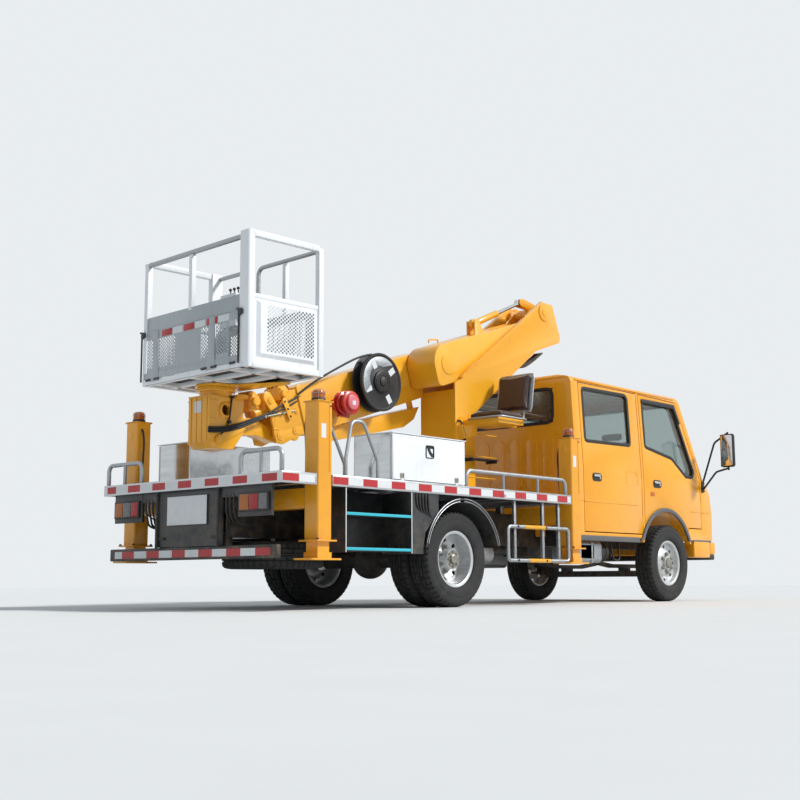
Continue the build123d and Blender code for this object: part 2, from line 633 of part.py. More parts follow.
def cab_parts():
    outer, inner = cab_hull(0), cab_hull(WALL)
    shell = outer - inner
    glass_layer = cab_hull(GLASS_IN) - cab_hull(GLASS_IN + GLASS_T)
    floor, skin = RAIL_Z1 + 20, 25
    tunnel = block(CAB_REAR, 4240, -415, 415, CAB_SILL, floor + skin)
    tunnel += block(2480, 3420, -300, 300, floor, 860)
    tunnel -= block(CAB_REAR - 1, 4300, -390, 390, CAB_SILL - 1, floor)
    tunnel -= block(2505, 3395, -275, 275, floor - 1, 835)
    shell = shell - block(CAB_REAR - 1, 4223, -390, 390, CAB_SILL - 1, floor) + (tunnel & outer)
    for x in (2000, 3900):
        for side in (-1, 1):
            y0, y1 = sorted((side * RAIL_Y, side * (RAIL_Y - RAIL_FLANGE)))
            shell = shell + block(x, x + 80, y0, y1, RAIL_Z1, floor)
    doors, glasses = {}, {}
    for side, name in ((-1, "right"), (1, "left")):
        for row, outline, window in (("rear", REAR_DOOR, REAR_WINDOW),
                                     ("front", FRONT_DOOR, FRONT_WINDOW)):
            opening = side_prism(outline, 0, side)
            door = (outer - inner) & side_prism(outline, -DOOR_GAP, side)
            door = door - side_prism(window, 0, side) - arch_cut(ARCH_R + FLARE, side)
            edge_x, heights = (2905, (760, 1120)) if row == "rear" else (4052, (790, 940))
            pillar, eyes = door_hinges(edge_x, heights, side)
            shell = fuse(shell - opening, *pillar)
            doors[f"{row}_door_{name}"] = fuse(door, *eyes)
            glasses[f"{row}_door_glass_{name}"] = glass_layer & side_prism(window, -0.2, side)
    windscreen = front_slab(WINDSCREEN, 3600, 4400)
    back = front_slab(BACK_WINDOW, 1700, 1900)
    shell = shell - windscreen - back
    for side in (-1, 1):
        y0, y1 = sorted((side * 300, side * 760))
        shell = shell + block(2940, 3400, y0, y1, 875, 900) + block(2940, 2965, y0, y1, RAIL_Z1 + 44, 880)
        y0, y1 = sorted((side * 300, side * 340))
        shell = shell + (block(4060 + SEAT, 4250, y0, y1, 910, 960) & outer)
        inner_y = 470 * side
        house = cross_rod(ARCH_X, ARCH_Z, ARCH_R + 15, min(inner_y - 15 * side, side * 804),
                          max(inner_y - 15 * side, side * 804))
        house = house & block(2700, 3900, -850, 850, CAB_SILL, 1000)
        shell = shell + house - arch_cut(ARCH_R, side)
        flare = ring(ARCH_X, ARCH_Z, ARCH_R + FLARE - 12, ARCH_R, *sorted((side * 806, side * 866)))
        flare = flare & block(2700, 3900, -880, 880, CAB_SILL - 40, 1000)
        shell = shell + flare
    inset = 0.2
    glass = [glass_layer & front_slab([(y - inset * (1 if y > 0 else -1), z) for y, z in WINDSCREEN],
                                      3600, 4400)]
    glass.append(glass_layer & front_slab([(y - inset * (1 if y > 0 else -1), z) for y, z in BACK_WINDOW],
                                          1700, 1900))
    return shell, doors, glasses, glass


def front_bumper():
    bar = side_slab([(4180, 420), (4180, 592), (4262, 592), (BUMPER_FRONT, 580), (BUMPER_FRONT, 430),
                     (4290, 410), (4200, 410)], -860, 860)
    bar = fillet(bar.edges().filter_by(Axis.Z), 30)
    skirt = []
    for side in (-1, 1):
        y0, y1 = sorted((side * 860, side * 760))
        skirt.append(block(3860, 4181, y0, y1, 420, 592))
    return fuse(bar, *skirt)


def front_lamps():
    lamps = []
    for side in (-1, 1):
        y0, y1 = sorted((side * 560, side * 790))
        lamps.append(block(CAB_FRONT - 1, CAB_FRONT + 18, y0, y1, 700, 850))
    return lamps


def mirrors():
    items = []
    for side in (-1, 1):
        y = side * 1150
        head = block(4075, 4125, y - 75, y + 75, 1340, 1680)
        head = fillet(head.edges().filter_by(Axis.X), 30)
        foot_y = side * (CAB_HALF + 11)
        arm = rod((4100, y, 1640), (4092, foot_y, 1185), 11)
        arm += rod((4100, y, 1380), (4092, foot_y, 1120), 11)
        y0, y1 = sorted((side * CAB_HALF, side * (CAB_HALF + 13)))
        items.append(fuse(head, arm, block(4070, 4112, y0, y1, 1100, 1185)))
    return items


def cab_seats():
    seats = []
    for y in (-500, 500):
        base = block(2960, 3380, y - 230, y + 230, 900 + SEAT, 1010)
        back = side_slab([(2990, 1010 + SEAT), (3110, 1010 + SEAT), (3010, 1620), (2910, 1620)], y - 220,
                         y + 220)
        seats.append(base)
        seats.append(back)
    bench = block(2050, 2470, -720, 720, RAIL_Z1 + 45 + SEAT, 1010)
    bench_back = side_slab([(1900, 1010 + SEAT), (2060, 1010 + SEAT), (1960, 1590), (1850, 1590)], -720,
                           720)
    return seats + [bench, bench_back]


def dashboard():
    dash = side_slab([(3850, 900), (3810, 1160), (3880, 1205), (4030, 1195), (4060, 1000), (4060, 900)],
                     -740, 740)
    column_tube = rod((3640, 500, 1160), (3850, 500, 1050), 24)
    wheel = Pos(3625, 500, 1170) * Rot(0, -62, 0) * Torus(200, 14)
    spokes = Pos(3625, 500, 1170) * Rot(0, -62, 0) * Box(18, 400, 12)
    hub = Pos(3625, 500, 1170) * Rot(0, -62, 0) * Cylinder(42, 40)
    return fuse(dash, column_tube, wheel, spokes, hub)


# Turret

def turret():
    outline = [(TURRET_REAR, TURRET_Z0), (TURRET_REAR, 1935), (966, 1987), (2217, 2879), (2404, 2890),
               (2529, 2577), (2510, 2524), (2118, 2390), (1870, 2211), (1117, 1661), (1154, 1358),
               (1154, TURRET_Z0)]
    wall = TURRET_WALL
    right = side_slab(outline, -TURRET_Y, -TURRET_Y + wall)
    plates = fuse(right, mirrored(right))
    rear_web = block(TURRET_REAR, TURRET_REAR + wall, -TURRET_Y, TURRET_Y, TURRET_Z0, 1880)
    front_web = block(1154 - wall, 1154, -TURRET_Y, TURRET_Y, TURRET_Z0, 1358)
    head_web = side_slab([(2404, 2890), (2529, 2577), (2510, 2524), (2495, 2530), (2510, 2577),
                          (2390, 2884)], -TURRET_Y, TURRET_Y)
    chin = side_slab([(2510, 2524), (2118, 2390), (2112, 2404), (2504, 2538)], -TURRET_Y, TURRET_Y)
    base = block(840, 1194, -250, 250, TURRET_Z0 - 20, TURRET_Z0)
    strip = side_slab([(966, 1987), (2217, 2879), (2209, 2891), (958, 1999)], -TURRET_Y - 22,
                      -TURRET_Y + wall)
    shape = fuse(plates, rear_web, front_web, head_web, chin, base, strip, mirrored(strip))
    for y0 in (LEVEL_Y - 34, LEVEL_Y + 24):
        shape = shape + side_slab([(2398, 2884), (2130, 2927), (2082, 2918), (2066, 2885), (2088, 2850),
                                   (2410, 2836)],
                                  y0, y0 + 10)
    shape = shape + cross_rod(*LUFF_BASE, CYLINDER_PIN - RUNNING_GAP, -TURRET_Y, TURRET_Y)
    shape = shape + cross_rod(PIVOT_X, PIVOT_Z, PIVOT_R - RUNNING_GAP, -TURRET_Y - 14, TURRET_Y + 14)
    shape = shape + cross_rod(PIVOT_X, PIVOT_Z, 90, -TURRET_Y - 10, -TURRET_Y)
    return shape + cross_rod(PIVOT_X, PIVOT_Z, 90, TURRET_Y, TURRET_Y + 10)


def slew_base():
    drum = Solid.make_cylinder(190, 120, Plane((SLEW_X, 0, 850)))
    ring_gear = Solid.make_cylinder(235, 20, Plane((SLEW_X, 0, 970)))
    foot = block(790, 1230, -250, 250, RAIL_Z1 + SUBFRAME_H, 850)
    legs = block(790, 1230, -RAIL_Y, RAIL_Y, RAIL_Z1 + SUBFRAME_H, RAIL_Z1 + SUBFRAME_H + 20)
    return fuse(drum, ring_gear, foot, legs)


def operator_seat():
    y0, y1 = -640, -250
    pan = block(960, 1360, y0, y1, 1608 + SEAT, 1670)
    back = side_slab([(1345, 1690), (1405, 1690), (1465, 2060), (1405, 2060)], y0, y1)
    return [fillet(pan.edges().filter_by(Axis.Z), 40), back]


def seat_frame():
    y0, y1 = -640, -250
    carrier = block(980, 1340, y0 + 40, -TURRET_Y - 0.5, 1560, 1608)
    arm = side_slab([(900, 1560), (1110, 1560), (1110, 1480), (940, 1440)], -TURRET_Y - 60, -TURRET_Y)
    lean = 60 / 370
    post = side_slab([(1340, 1560), (1420, 1560), (1495, 2000), (1405.3 + 310 * lean, 2000),
                      (1405.3 - 70 * lean, 1620), (1362, 1608), (1340, 1608)], -470, -420)
    return carrier, arm, post


# Boom

def boom_point(s, n):
    """A point s behind the pivot along the boom and n above its line."""
    b = radians(PITCH)
    return PIVOT_X - s * cos(b) - n * sin(b), PIVOT_Z - s * sin(b) + n * cos(b)


def boom_slab(points, y0, y1):
    return side_slab([boom_point(s, n) for s, n in points], y0, y1)


def boom_base():
    box = boom_slab([(0, -ROOT_R), (-42, -42), (-ROOT_R, 0), (-42, 42), (0, ROOT_R), (200, BOX_TOP),
                     (NOSE_S, BOX_TOP), (NOSE_S, BOX_BOTTOM), (900, BOX_BOTTOM), (250, -180)], BOX_Y0, BOX_Y1)
    box = box - boom_slab([(-100, 200), (700, 200), (700, -311), (250, -168), (0, -ROOT_R - 60),
                           (-100, -ROOT_R - 60)],
                          BOX_Y0 + 28, BOX_Y1 - 28)
    box = box - boom_slab([(225, -100), (450, -100), (450, -300), (225, -300)], LUFF_Y - 36, LUFF_Y + 36)
    top = boom_point(NOSE_S, BOX_TOP)
    low = boom_point(NOSE_S, BOX_BOTTOM)
    across = box.edges().filter_by(Axis.Y)
    box = fillet(across.sort_by_distance(Vector(top[0], 0, top[1]))[0], 170)
    across = box.edges().filter_by(Axis.Y)
    box = fillet(across.sort_by_distance(Vector(low[0], 0, low[1]))[0], 60)
    box = box - cross_rod(PIVOT_X, PIVOT_Z, PIVOT_R, -400, 400)
    arm = boom_slab([(ARM_S0, ARM_TOP), (ARM_S1, ARM_TOP), (ARM_S1, ARM_BOTTOM),
                     (ARM_S0 + 130, ARM_BOTTOM)],
                    ARM_Y0, ARM_Y1)
    w = ARM_WALL
    hollow = boom_slab([(ARM_S0 + 150, ARM_TOP - w), (ARM_S1 + 1, ARM_TOP - w),
                        (ARM_S1 + 1, ARM_BOTTOM + w),
                        (ARM_S0 + 150, ARM_BOTTOM + w)], ARM_Y0 + w, ARM_Y1 - w)
    arm = arm - hollow
    hub_x, hub_z = boom_point(1590, -215)
    hub = cross_rod(hub_x, hub_z, 95, BOX_Y0 - 6, ARM_Y0 + 4)
    tray = side_slab([(870, 1760), (-240, 1480), (-240, 1356), (660, 1555), (800, 1640)], 215, 385)
    lug_a = boom_slab([(1700, ARM_BOTTOM + 1), (1760, ARM_BOTTOM + 1), (1760, -620), (1700, -620)], 240,
                      260)
    lug_b = boom_slab([(2450, ARM_BOTTOM + 1), (2510, ARM_BOTTOM + 1), (2510, -560), (2450, -560)], 240,
                      260)
    lugs = []
    for y0, y1 in ((-70, -50), (30, 50)):
        lugs.append(side_slab([(1860, 2440), (2060, 2560), (2060, 2420), (1985, 2290), (1915, 2290),
                               (1860, 2360)], y0, y1))
    for y0 in (LEVEL_Y - 50, LEVEL_Y + 38):
        lugs.append(boom_slab([(850, BOX_TOP - 1), (888, 90), (946, 90), (985, BOX_TOP - 1)], y0,
                              y0 + 12))
    lugs.append(cross_rod(*LEVEL_BASE, CYLINDER_PIN - RUNNING_GAP, LEVEL_Y - 50, LEVEL_Y + 50))
    gap = ARM_WALL + SLIDE_GAP - SEAT
    pad = boom_slab([(ARM_S1 - 60, ARM_TOP - w), (ARM_S1, ARM_TOP - w), (ARM_S1, ARM_BOTTOM + w),
                     (ARM_S1 - 60, ARM_BOTTOM + w)],
                    ARM_Y0 + w, ARM_Y1 - w)
    pad -= boom_slab([(ARM_S1 - 61, ARM_TOP - gap), (ARM_S1 + 1, ARM_TOP - gap),
                      (ARM_S1 + 1, ARM_BOTTOM + gap),
                      (ARM_S1 - 61, ARM_BOTTOM + gap)], ARM_Y0 + gap, ARM_Y1 - gap)
    return fuse(box, arm, pad, hub, tray, lug_a, lug_b, *lugs)


def boom_inner():
    gap = ARM_WALL + SLIDE_GAP
    y0, y1 = ARM_Y0 + gap, ARM_Y1 - gap
    tube = boom_slab([(ARM_S0 + 170, ARM_TOP - gap), (3230, ARM_TOP - gap), (3230, ARM_BOTTOM + gap),
                      (ARM_S0 + 170, ARM_BOTTOM + gap)], y0, y1)
    w = 8
    tube -= boom_slab([(ARM_S0 + 160, ARM_TOP - gap - w), (3222, ARM_TOP - gap - w),
                       (3222, ARM_BOTTOM + gap + w),
                       (ARM_S0 + 160, ARM_BOTTOM + gap + w)], y0 + w, y1 - w)
    cheeks = []
    for a, b in ((y0, y0 + 22), (y1 - 22, y1)):
        top_x, top_z = boom_point(3229, ARM_TOP - gap)
        low_x, low_z = boom_point(3229, ARM_BOTTOM + gap)
        cheek = side_slab([(top_x, top_z), (LEVEL_X - 60, LEVEL_Z + 150), (LEVEL_X - 70, LEVEL_Z + 20),
                           (LEVEL_X - 40, LEVEL_Z - 60), (LEVEL_X + 30, LEVEL_Z - 65),
                           (low_x, low_z)], a, b)
        cheeks.append(cheek)
    pin = cross_rod(LEVEL_X, LEVEL_Z, 25 - RUNNING_GAP, y0 - 10, y1 + 10)
    return fuse(tube, *cheeks, pin)


def basket_mount():
    """The cast bracket, its dog-leg lever on the levelling pin, and the swing pedestal."""
    y0, y1 = 178, 422
    bracket = side_slab([(-1580, 1240), (-1580, 1600), (-1240, 1600), (-1240, 1330), (-1340, 1200),
                         (-1540, 1200)], y0, y1)
    bracket -= side_slab([(-1540, 1240), (-1540, 1560), (-1280, 1560), (-1280, 1345), (-1350, 1240)],
                         y0 + 25, y1 - 25)
    for a, b in ((y0 - 1, y0 + 30), (y1 - 30, y1 + 1)):
        bracket -= cross_rod(-1420, 1495, 42, a, b)
    lever = side_slab([(-1281, 1330), (-1281, 1450), (-1100, 1470), (-880, 1400), (-830, 1370),
                       (-820, 1330),
                       (-860, 1298), (-920, 1310), (-1050, 1340), (-1150, 1330)], 240, 360)
    lever -= cross_rod(LEVEL_X, LEVEL_Z, 25, 200, 400)
    neck = Solid.make_cylinder(110, 40, Plane((SWING_X, SWING_Y, 1599)))
    flange = Solid.make_cylinder(150, 18, Plane((SWING_X, SWING_Y, SWING_TOP - 18)))
    return fuse(bracket, lever, neck, flange)


def in_basket(shape):
    return Pos(BASKET_X, BASKET_Y, 0) * Rot(0, 0, BASKET_YAW) * shape


def basket_frame():
    l, w, t = BASKET_L / 2, BASKET_W / 2, BASKET_TUBE
    z0, z1 = BASKET_Z0, BASKET_Z1
    parts = []
    for z in (z0, z0 + 500, z1 - t):
        parts.append(block(-l, l, -w, w, z, z + t) - block(-l + t, l - t, -w + t, w - t, z - 1,
                                                           z + t + 1))
    for x in (-l, l - t):
        for y in (-w, w - t):
            parts.append(block(x, x + t, y, y + t, z0, z1))
    frame = fuse(*parts)
    for y in (-220, 180):
        frame += block(-l, l, y, y + t, z0, z0 + t)
    return in_basket(frame)


def swing_plate():
    z0 = SWING_TOP + SEAT
    return Solid.make_cylinder(150, BASKET_Z0 - z0, Plane((SWING_X, SWING_Y, z0)))


def basket_panels():
    l, w, t = BASKET_L / 2, BASKET_W / 2, BASKET_TUBE
    z0 = BASKET_Z0 + BASKET_TUBE
    floor = block(-l + 1, l - 1, -w + 1, w - 1, z0 + 0.3, z0 + 4)
    floor -= block(-l - 1, -l + t, -w - 1, -w + t, z0 - 1, z0 + 9)
    floor -= block(l - t, l + 1, -w - 1, -w + t, z0 - 1, z0 + 9)
    floor -= block(-l - 1, -l + t, w - t, w + 1, z0 - 1, z0 + 9)
    floor -= block(l - t, l + 1, w - t, w + 1, z0 - 1, z0 + 9)
    wall_z0, wall_z1 = z0 + 4, z0 + 456
    panels = [floor]
    for x0 in (-l + 15, l - 19):
        panels.append(block(x0, x0 + 4, -w + t + 0.3, w - t - 0.3, wall_z0, wall_z1))
    for y0 in (-w + 15, w - 19):
        panels.append(block(-l + t + 0.3, l - t - 0.3, y0, y0 + 4, wall_z0, wall_z1))
    return in_basket(fuse(*panels))


def cable_drum():
    x, z = 139, 1876
    drum = cross_rod(x, z, 250, 0, 12)
    drum += cross_rod(x, z, 250, 96, 108)
    drum += cross_rod(x, z, 110, 10, 100)
    drum += cross_rod(x, z, 95, -22, 2)
    return drum + cross_rod(x, z, 60, 100, ARM_Y0 - 0.3)


def siren():
    x, z = -280, 1650
    body = cross_rod(x, z, 95, -60, -50)
    body += cross_rod(x, z, 82, -52, 60)
    body += cross_rod(x, z, 100, 20, 60)
    return body + block(x - 40, x + 40, 58, ARM_Y0 - 0.3, z - 40, z + 40)


# Cylinders

def along(start, end, distance):
    length = hypot(end[0] - start[0], end[1] - start[1])
    return tuple(a + (b - a) * distance / length for a, b in zip(start, end))


def cylinder_pair(base, eye, barrel_length, barrel_r, rod_r, y_mid, half, rod_in):
    """A barrel on its base pin and a rod whose eye floats between two cheeks."""
    total = hypot(eye[0] - base[0], eye[1] - base[1])
    mouth = along(base, eye, barrel_length)
    start = along(base, eye, 30)
    barrel = rod((start[0], y_mid, start[1]), (mouth[0], y_mid, mouth[1]), barrel_r)
    barrel += cross_rod(base[0], base[1], 45, y_mid - half, y_mid + half)
    bore_start = along(base, eye, 90)
    past = along(base, eye, barrel_length + 5)
    barrel -= rod((bore_start[0], y_mid, bore_start[1]), (past[0], y_mid, past[1]), rod_r + SEAT)
    barrel -= cross_rod(base[0], base[1], CYLINDER_PIN, y_mid - half - 1, y_mid + half + 1)
    inner = along(base, eye, rod_in)
    tip = along(base, eye, total - 20)
    shaft = rod((inner[0], y_mid, inner[1]), (tip[0], y_mid, tip[1]), rod_r)
    shaft += cross_rod(eye[0], eye[1], 38, y_mid - half, y_mid + half)
    return barrel, shaft


def main():
    os.makedirs("parts", exist_ok=True)
    save("chassis_frame", chassis_frame())
    save("leaf_springs", *leaf_springs())
    save("axles", *axles())
    save("drivetrain", drivetrain())
    wheels()
    save("knuckle_right", knuckle())
    save("knuckle_left", mirrored(knuckle()))
    save("deck", deck())
    save("rear_panel", rear_panel())
    save("lamps", *tail_lamps(), *beacons(), *front_lamps())
    save("underrun_guards", *underrun_guards())
    save("rear_fenders", *rear_fenders())
    save("deck_rails", *deck_rails())
    save("toolboxes", toolbox(), Pos(LEFT_BOX_SHIFT, 0, 0) * mirrored(toolbox()))
    save("toolbox_door_right", toolbox_door())
    save("toolbox_door_left", Pos(LEFT_BOX_SHIFT, 0, 0) * mirrored(toolbox_door()))
    save("side_tanks", *side_tanks())
    save("spare_wheel", spare_wheel())
    save("outrigger_columns", *outrigger_columns())
    for name, (x_mid, side) in COLUMNS.items():
        save(f"jack_leg_{name}", jack_leg(x_mid, side))
    shell, doors, glasses, glass = cab_parts()
    save("cab_shell", shell)
    save("cab_glass", *glass)
    for name, door in doors.items():
        save(name, door)
    for name, pane in glasses.items():
        save(name, pane)
    save("front_bumper", front_bumper())
    save("mirrors", *mirrors())
    save("cab_seats", *cab_seats())
    save("dashboard", dashboard())
    carrier, arm, post = seat_frame()
    save("turret", fuse(turret(), carrier, arm, post))
    save("slew_base", slew_base())
    save("operator_seat", *operator_seat())
    save("boom_base", boom_base())
    save("boom_inner", boom_inner())
    save("basket_mount", basket_mount())
    save("basket_frame", fuse(basket_frame(), swing_plate()))
    save("basket_panels", basket_panels())
    save("cable_drum", cable_drum())
    save("siren", siren())
    barrel, shaft = cylinder_pair(LUFF_BASE, LUFF_EYE, LUFF_BARREL, 50, 30, LUFF_Y, 30, 160)
    save("luff_barrel", barrel)
    save("luff_rod", shaft)
    barrel, shaft = cylinder_pair(LEVEL_BASE, LEVEL_EYE, LEVEL_BARREL, 32, 18, LEVEL_Y, 18, 120)
    save("level_barrel", barrel)
    save("level_rod", shaft)


if __name__ == "__main__":
    main()
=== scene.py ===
"""Paint, glass, rubber and fine parts for a cherry picker truck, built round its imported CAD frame."""
import json
from math import atan2, cos, hypot, pi, radians, sin, tan

import bpy
from mathutils import Matrix, Vector

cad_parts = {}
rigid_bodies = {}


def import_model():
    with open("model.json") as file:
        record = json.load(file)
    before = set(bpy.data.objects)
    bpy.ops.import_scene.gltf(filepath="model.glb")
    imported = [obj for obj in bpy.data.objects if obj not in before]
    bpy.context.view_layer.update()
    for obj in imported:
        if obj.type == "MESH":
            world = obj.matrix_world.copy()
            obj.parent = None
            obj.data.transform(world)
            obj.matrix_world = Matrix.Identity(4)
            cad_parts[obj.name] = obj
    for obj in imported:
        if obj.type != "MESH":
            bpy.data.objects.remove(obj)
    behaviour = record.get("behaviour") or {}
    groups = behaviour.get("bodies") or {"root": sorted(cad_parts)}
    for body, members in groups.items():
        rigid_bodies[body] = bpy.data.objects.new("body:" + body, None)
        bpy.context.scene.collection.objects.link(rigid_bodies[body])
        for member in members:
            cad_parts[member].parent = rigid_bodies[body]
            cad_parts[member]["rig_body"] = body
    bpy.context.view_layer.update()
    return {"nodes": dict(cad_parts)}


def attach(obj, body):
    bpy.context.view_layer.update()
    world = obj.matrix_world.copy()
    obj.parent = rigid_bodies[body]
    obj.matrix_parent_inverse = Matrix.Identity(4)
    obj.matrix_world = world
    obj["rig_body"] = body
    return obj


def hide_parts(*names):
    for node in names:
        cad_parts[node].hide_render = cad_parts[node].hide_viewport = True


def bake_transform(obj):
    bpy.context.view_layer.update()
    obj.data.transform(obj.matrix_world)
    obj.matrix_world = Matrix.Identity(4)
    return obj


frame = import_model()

bl_info = {
    "name": "Cherry picker truck",
    "version": (1, 0, 0),
    "blender": (4, 5, 0),
    "location": "3D View > Sidebar > Truck",
    "description": "Paints and details a light truck with a lifting boom and a work basket",
    "category": "Object",
}

NODES = frame["nodes"]
LOOKS = {}
REAR_AXLE_X = -1.195
TYRE_R = 370


# Places and meshes

def spot(x, y, z):
    """A drawing point in mm, with x counted forward from the rear axle, in the frame's metres."""
    return Vector((x / 1000 + REAR_AXLE_X, y / 1000, z / 1000))


def mm(value):
    return value / 1000


def deselect():
    if bpy.context.mode != "OBJECT":
        bpy.ops.object.mode_set(mode="OBJECT")
    bpy.ops.object.select_all(action="DESELECT")


def pick(obj):
    deselect()
    obj.select_set(True)
    bpy.context.view_layer.objects.active = obj


def settle(obj):
    """Moves an object's place, turn and scale into its mesh."""
    pick(obj)
    bpy.ops.object.transform_apply(location=True, rotation=True, scale=True)
    return obj


def modify(obj, kind, **settings):
    """Adds a modifier and applies it."""
    mod = obj.modifiers.new(kind, kind)
    for key, value in settings.items():
        setattr(mod, key, value)
    pick(obj)
    bpy.ops.object.modifier_apply(modifier=mod.name)
    return obj


def smooth(obj, angle=35):
    pick(obj)
    bpy.ops.object.shade_smooth_by_angle(angle=radians(angle))
    return obj


def soften(obj, width=2.0, segments=2, angle=35):
    """Rounds the sharp edges by a width in mm, as a press brake or a mould leaves them."""
    modify(obj, "BEVEL", width=mm(width), segments=segments, limit_method="ANGLE",
           angle_limit=radians(angle), use_clamp_overlap=True, miter_outer="MITER_ARC")
    return smooth(obj, 40)


def edit(obj):
    pick(obj)
    bpy.ops.object.mode_set(mode="EDIT")
    bpy.ops.mesh.select_all(action="SELECT")


def outward(obj):
    """Merges doubles and turns all faces outward."""
    edit(obj)
    bpy.ops.mesh.remove_doubles(threshold=1e-5)
    bpy.ops.mesh.normals_make_consistent(inside=False)
    bpy.ops.object.mode_set(mode="OBJECT")
    return obj


def block(lo, hi, bevel=2.0, segments=2):
    """A box between two drawing corners, with rounded edges."""
    a, b = spot(*lo), spot(*hi)
    deselect()
    bpy.ops.mesh.primitive_cube_add(size=1, location=(a + b) / 2)
    obj = bpy.context.object
    obj.scale = b - a
    settle(obj)
    return soften(obj, bevel, segments) if bevel else obj


def on_plane(axis, u, v, w):
    """The drawing point at (u, v) on a plane w along an axis."""
    return {"X": (w, u, v), "Y": (u, w, v), "Z": (u, v, w)}[axis]


def across(side, near, far):
    """The y range between two distances from the truck's middle on one side, in rising order."""
    return sorted((side * near, side * far))


def around(u, v, radius, turns):
    """Points on a circle about (u, v), one for each turn in radians."""
    return [(u + radius * cos(a), v + radius * sin(a)) for a in turns]


def even_turns(count):
    """Even steps of a full turn."""
    return [2 * pi * k / count for k in range(count)]


def from_points(points, faces=(), edges=()):
    mesh = bpy.data.meshes.new("mesh")
    mesh.from_pydata([tuple(p) for p in points], list(edges), list(faces))
    mesh.update()
    obj = bpy.data.objects.new("piece", mesh)
    bpy.context.scene.collection.objects.link(obj)
    return obj


def thicken(obj, axis, a, b, bevel, segments=2):
    """Extrudes a flat piece from a to b along an axis, and rounds its edges."""
    edit(obj)
    step = spot(*on_plane(axis, 0, 0, b)) - spot(*on_plane(axis, 0, 0, a))
    bpy.ops.mesh.extrude_region_move(TRANSFORM_OT_translate={"value": step})
    bpy.ops.object.mode_set(mode="OBJECT")
    outward(obj)
    return soften(obj, bevel, segments) if bevel else smooth(obj)


def plate(outline, axis, a, b, bevel=1.5, segments=2):
    """A flat plate cut to an outline of (u, v), from a to b along an axis."""
    points = [spot(*on_plane(axis, u, v, a)) for u, v in outline]
    return thicken(from_points(points, [range(len(points))]), axis, a, b, bevel, segments)


def arc_points(points, bend, cyclic=False):
    """A run of straight lines in mm with each corner turned into an arc."""
    pts = [Vector(p) for p in points]
    out, n = [], len(pts)
    for i, p in enumerate(pts):
        if not cyclic and i in (0, n - 1) or bend <= 0:
            out.append(p)
            continue
        to_last, to_next = (pts[i - 1] - p).normalized(), (pts[(i + 1) % n] - p).normalized()
        half = to_last.angle(to_next) / 2
        if half > radians(88):
            out.append(p)
            continue
        cut = min(bend / tan(half), (pts[i - 1] - p).length * 0.49, (pts[(i + 1) % n] - p).length * 0.49)
        radius = cut * tan(half)
        centre = p + (to_last + to_next).normalized() * (radius / sin(half))
        start, end = p + to_last * cut - centre, p + to_next * cut - centre
        sweep = start.angle(end)
        steps = max(2, round(sweep / radians(18)))
        for k in range(steps + 1):
            t = k / steps
            out.append(centre + (start * sin((1 - t) * sweep) + end * sin(t * sweep)) / sin(sweep))
    return out


def curve_mesh(points, radius, sides, cyclic=False, smooth_line=False):
    """A round bar along points in mm, made as a curve and converted to a mesh."""
    data = bpy.data.curves.new("bar", "CURVE")
    data.dimensions = "3D"
    spline = data.splines.new("NURBS" if smooth_line else "POLY")
    spline.points.add(len(points) - 1)
    for point, place in zip(spline.points, points):
        point.co = (*spot(*place), 1)
    if smooth_line:
        spline.order_u, spline.use_endpoint_u = 3, True
        spline.resolution_u = 6
    spline.use_cyclic_u = cyclic
    data.bevel_depth, data.bevel_resolution, data.use_fill_caps = mm(radius), max(1, sides // 4 - 1), True
    obj = bpy.data.objects.new("bar", data)
    bpy.context.scene.collection.objects.link(obj)
    pick(obj)
    bpy.ops.object.convert(target="MESH")
    return smooth(bpy.context.object, 50)


def tube(points, radius, bend=0, cyclic=False, sides=16):
    return curve_mesh(arc_points(points, bend, cyclic), radius, sides, cyclic)


def hose(points, radius, sides=12):
    return curve_mesh([Vector(p) for p in points], radius, sides, smooth_line=True)


def turned(profile, centre, axis, steps=48):
    """A profile of (radius, distance along the axis) in mm, spun round the axis through a point."""
    points = [(mm(r), 0, mm(h)) for r, h in profile]
    obj = from_points(points, edges=[(i, i + 1) for i in range(len(points) - 1)])
    modify(obj, "SCREW", axis="Z", steps=steps, render_steps=steps, use_merge_vertices=True,
           merge_threshold=1e-5)
    outward(obj)
    turn = {"X": Matrix.Rotation(pi / 2, 4, "Y"), "Y": Matrix.Rotation(-pi / 2, 4, "X"),
            "Z": Matrix.Identity(4)}
    obj.matrix_world = Matrix.Translation(spot(*centre)) @ turn[axis]
    settle(obj)
    return smooth(obj, 35)


BOLTS = {}


def bolt(centre, axis, size=17, height=8, sign=1):
    """A hexagon head with a chamfer and a washer under it; each size is turned once and copied."""
    key = (axis, size, height, sign)
    if key not in BOLTS:
        r = size / 2 / cos(pi / 6)
        head = turned([(0, 0), (r, 0), (r, height * 0.8 * sign), (r * 0.86, height * sign),
                       (0, height * sign)], (0, 0, 0), axis, 6)
        washer = turned([(0, 0), (r * 1.25, 0), (r * 1.25, 1.6 * sign), (0, 1.6 * sign)], (0, 0, 0), axis,
                        16)
        model = join([head, washer])
        BOLTS[key] = model.data.copy()
        bpy.data.objects.remove(model)
    obj = bpy.data.objects.new("bolt", BOLTS[key].copy())
    bpy.context.scene.collection.objects.link(obj)
    obj.data.transform(Matrix.Translation(spot(*centre) - spot(0, 0, 0)))
    return obj


def join(objects):
    """One object from several; the first gives its name."""
    objects = [o for o in objects if o]
    deselect()
    for obj in objects:
        obj.select_set(True)
    bpy.context.view_layer.objects.active = objects[0]
    if len(objects) > 1:
        bpy.ops.object.join()
    return bpy.context.view_layer.objects.active


def copy_at(obj, move=(0, 0, 0), matrix=None):
    """A copy with its own mesh, moved by mm."""
    twin = obj.copy()
    twin.data = obj.data.copy()
    bpy.context.scene.collection.objects.link(twin)
    twin.data.transform(matrix if matrix else Matrix.Translation(Vector(move) / 1000))
    return twin


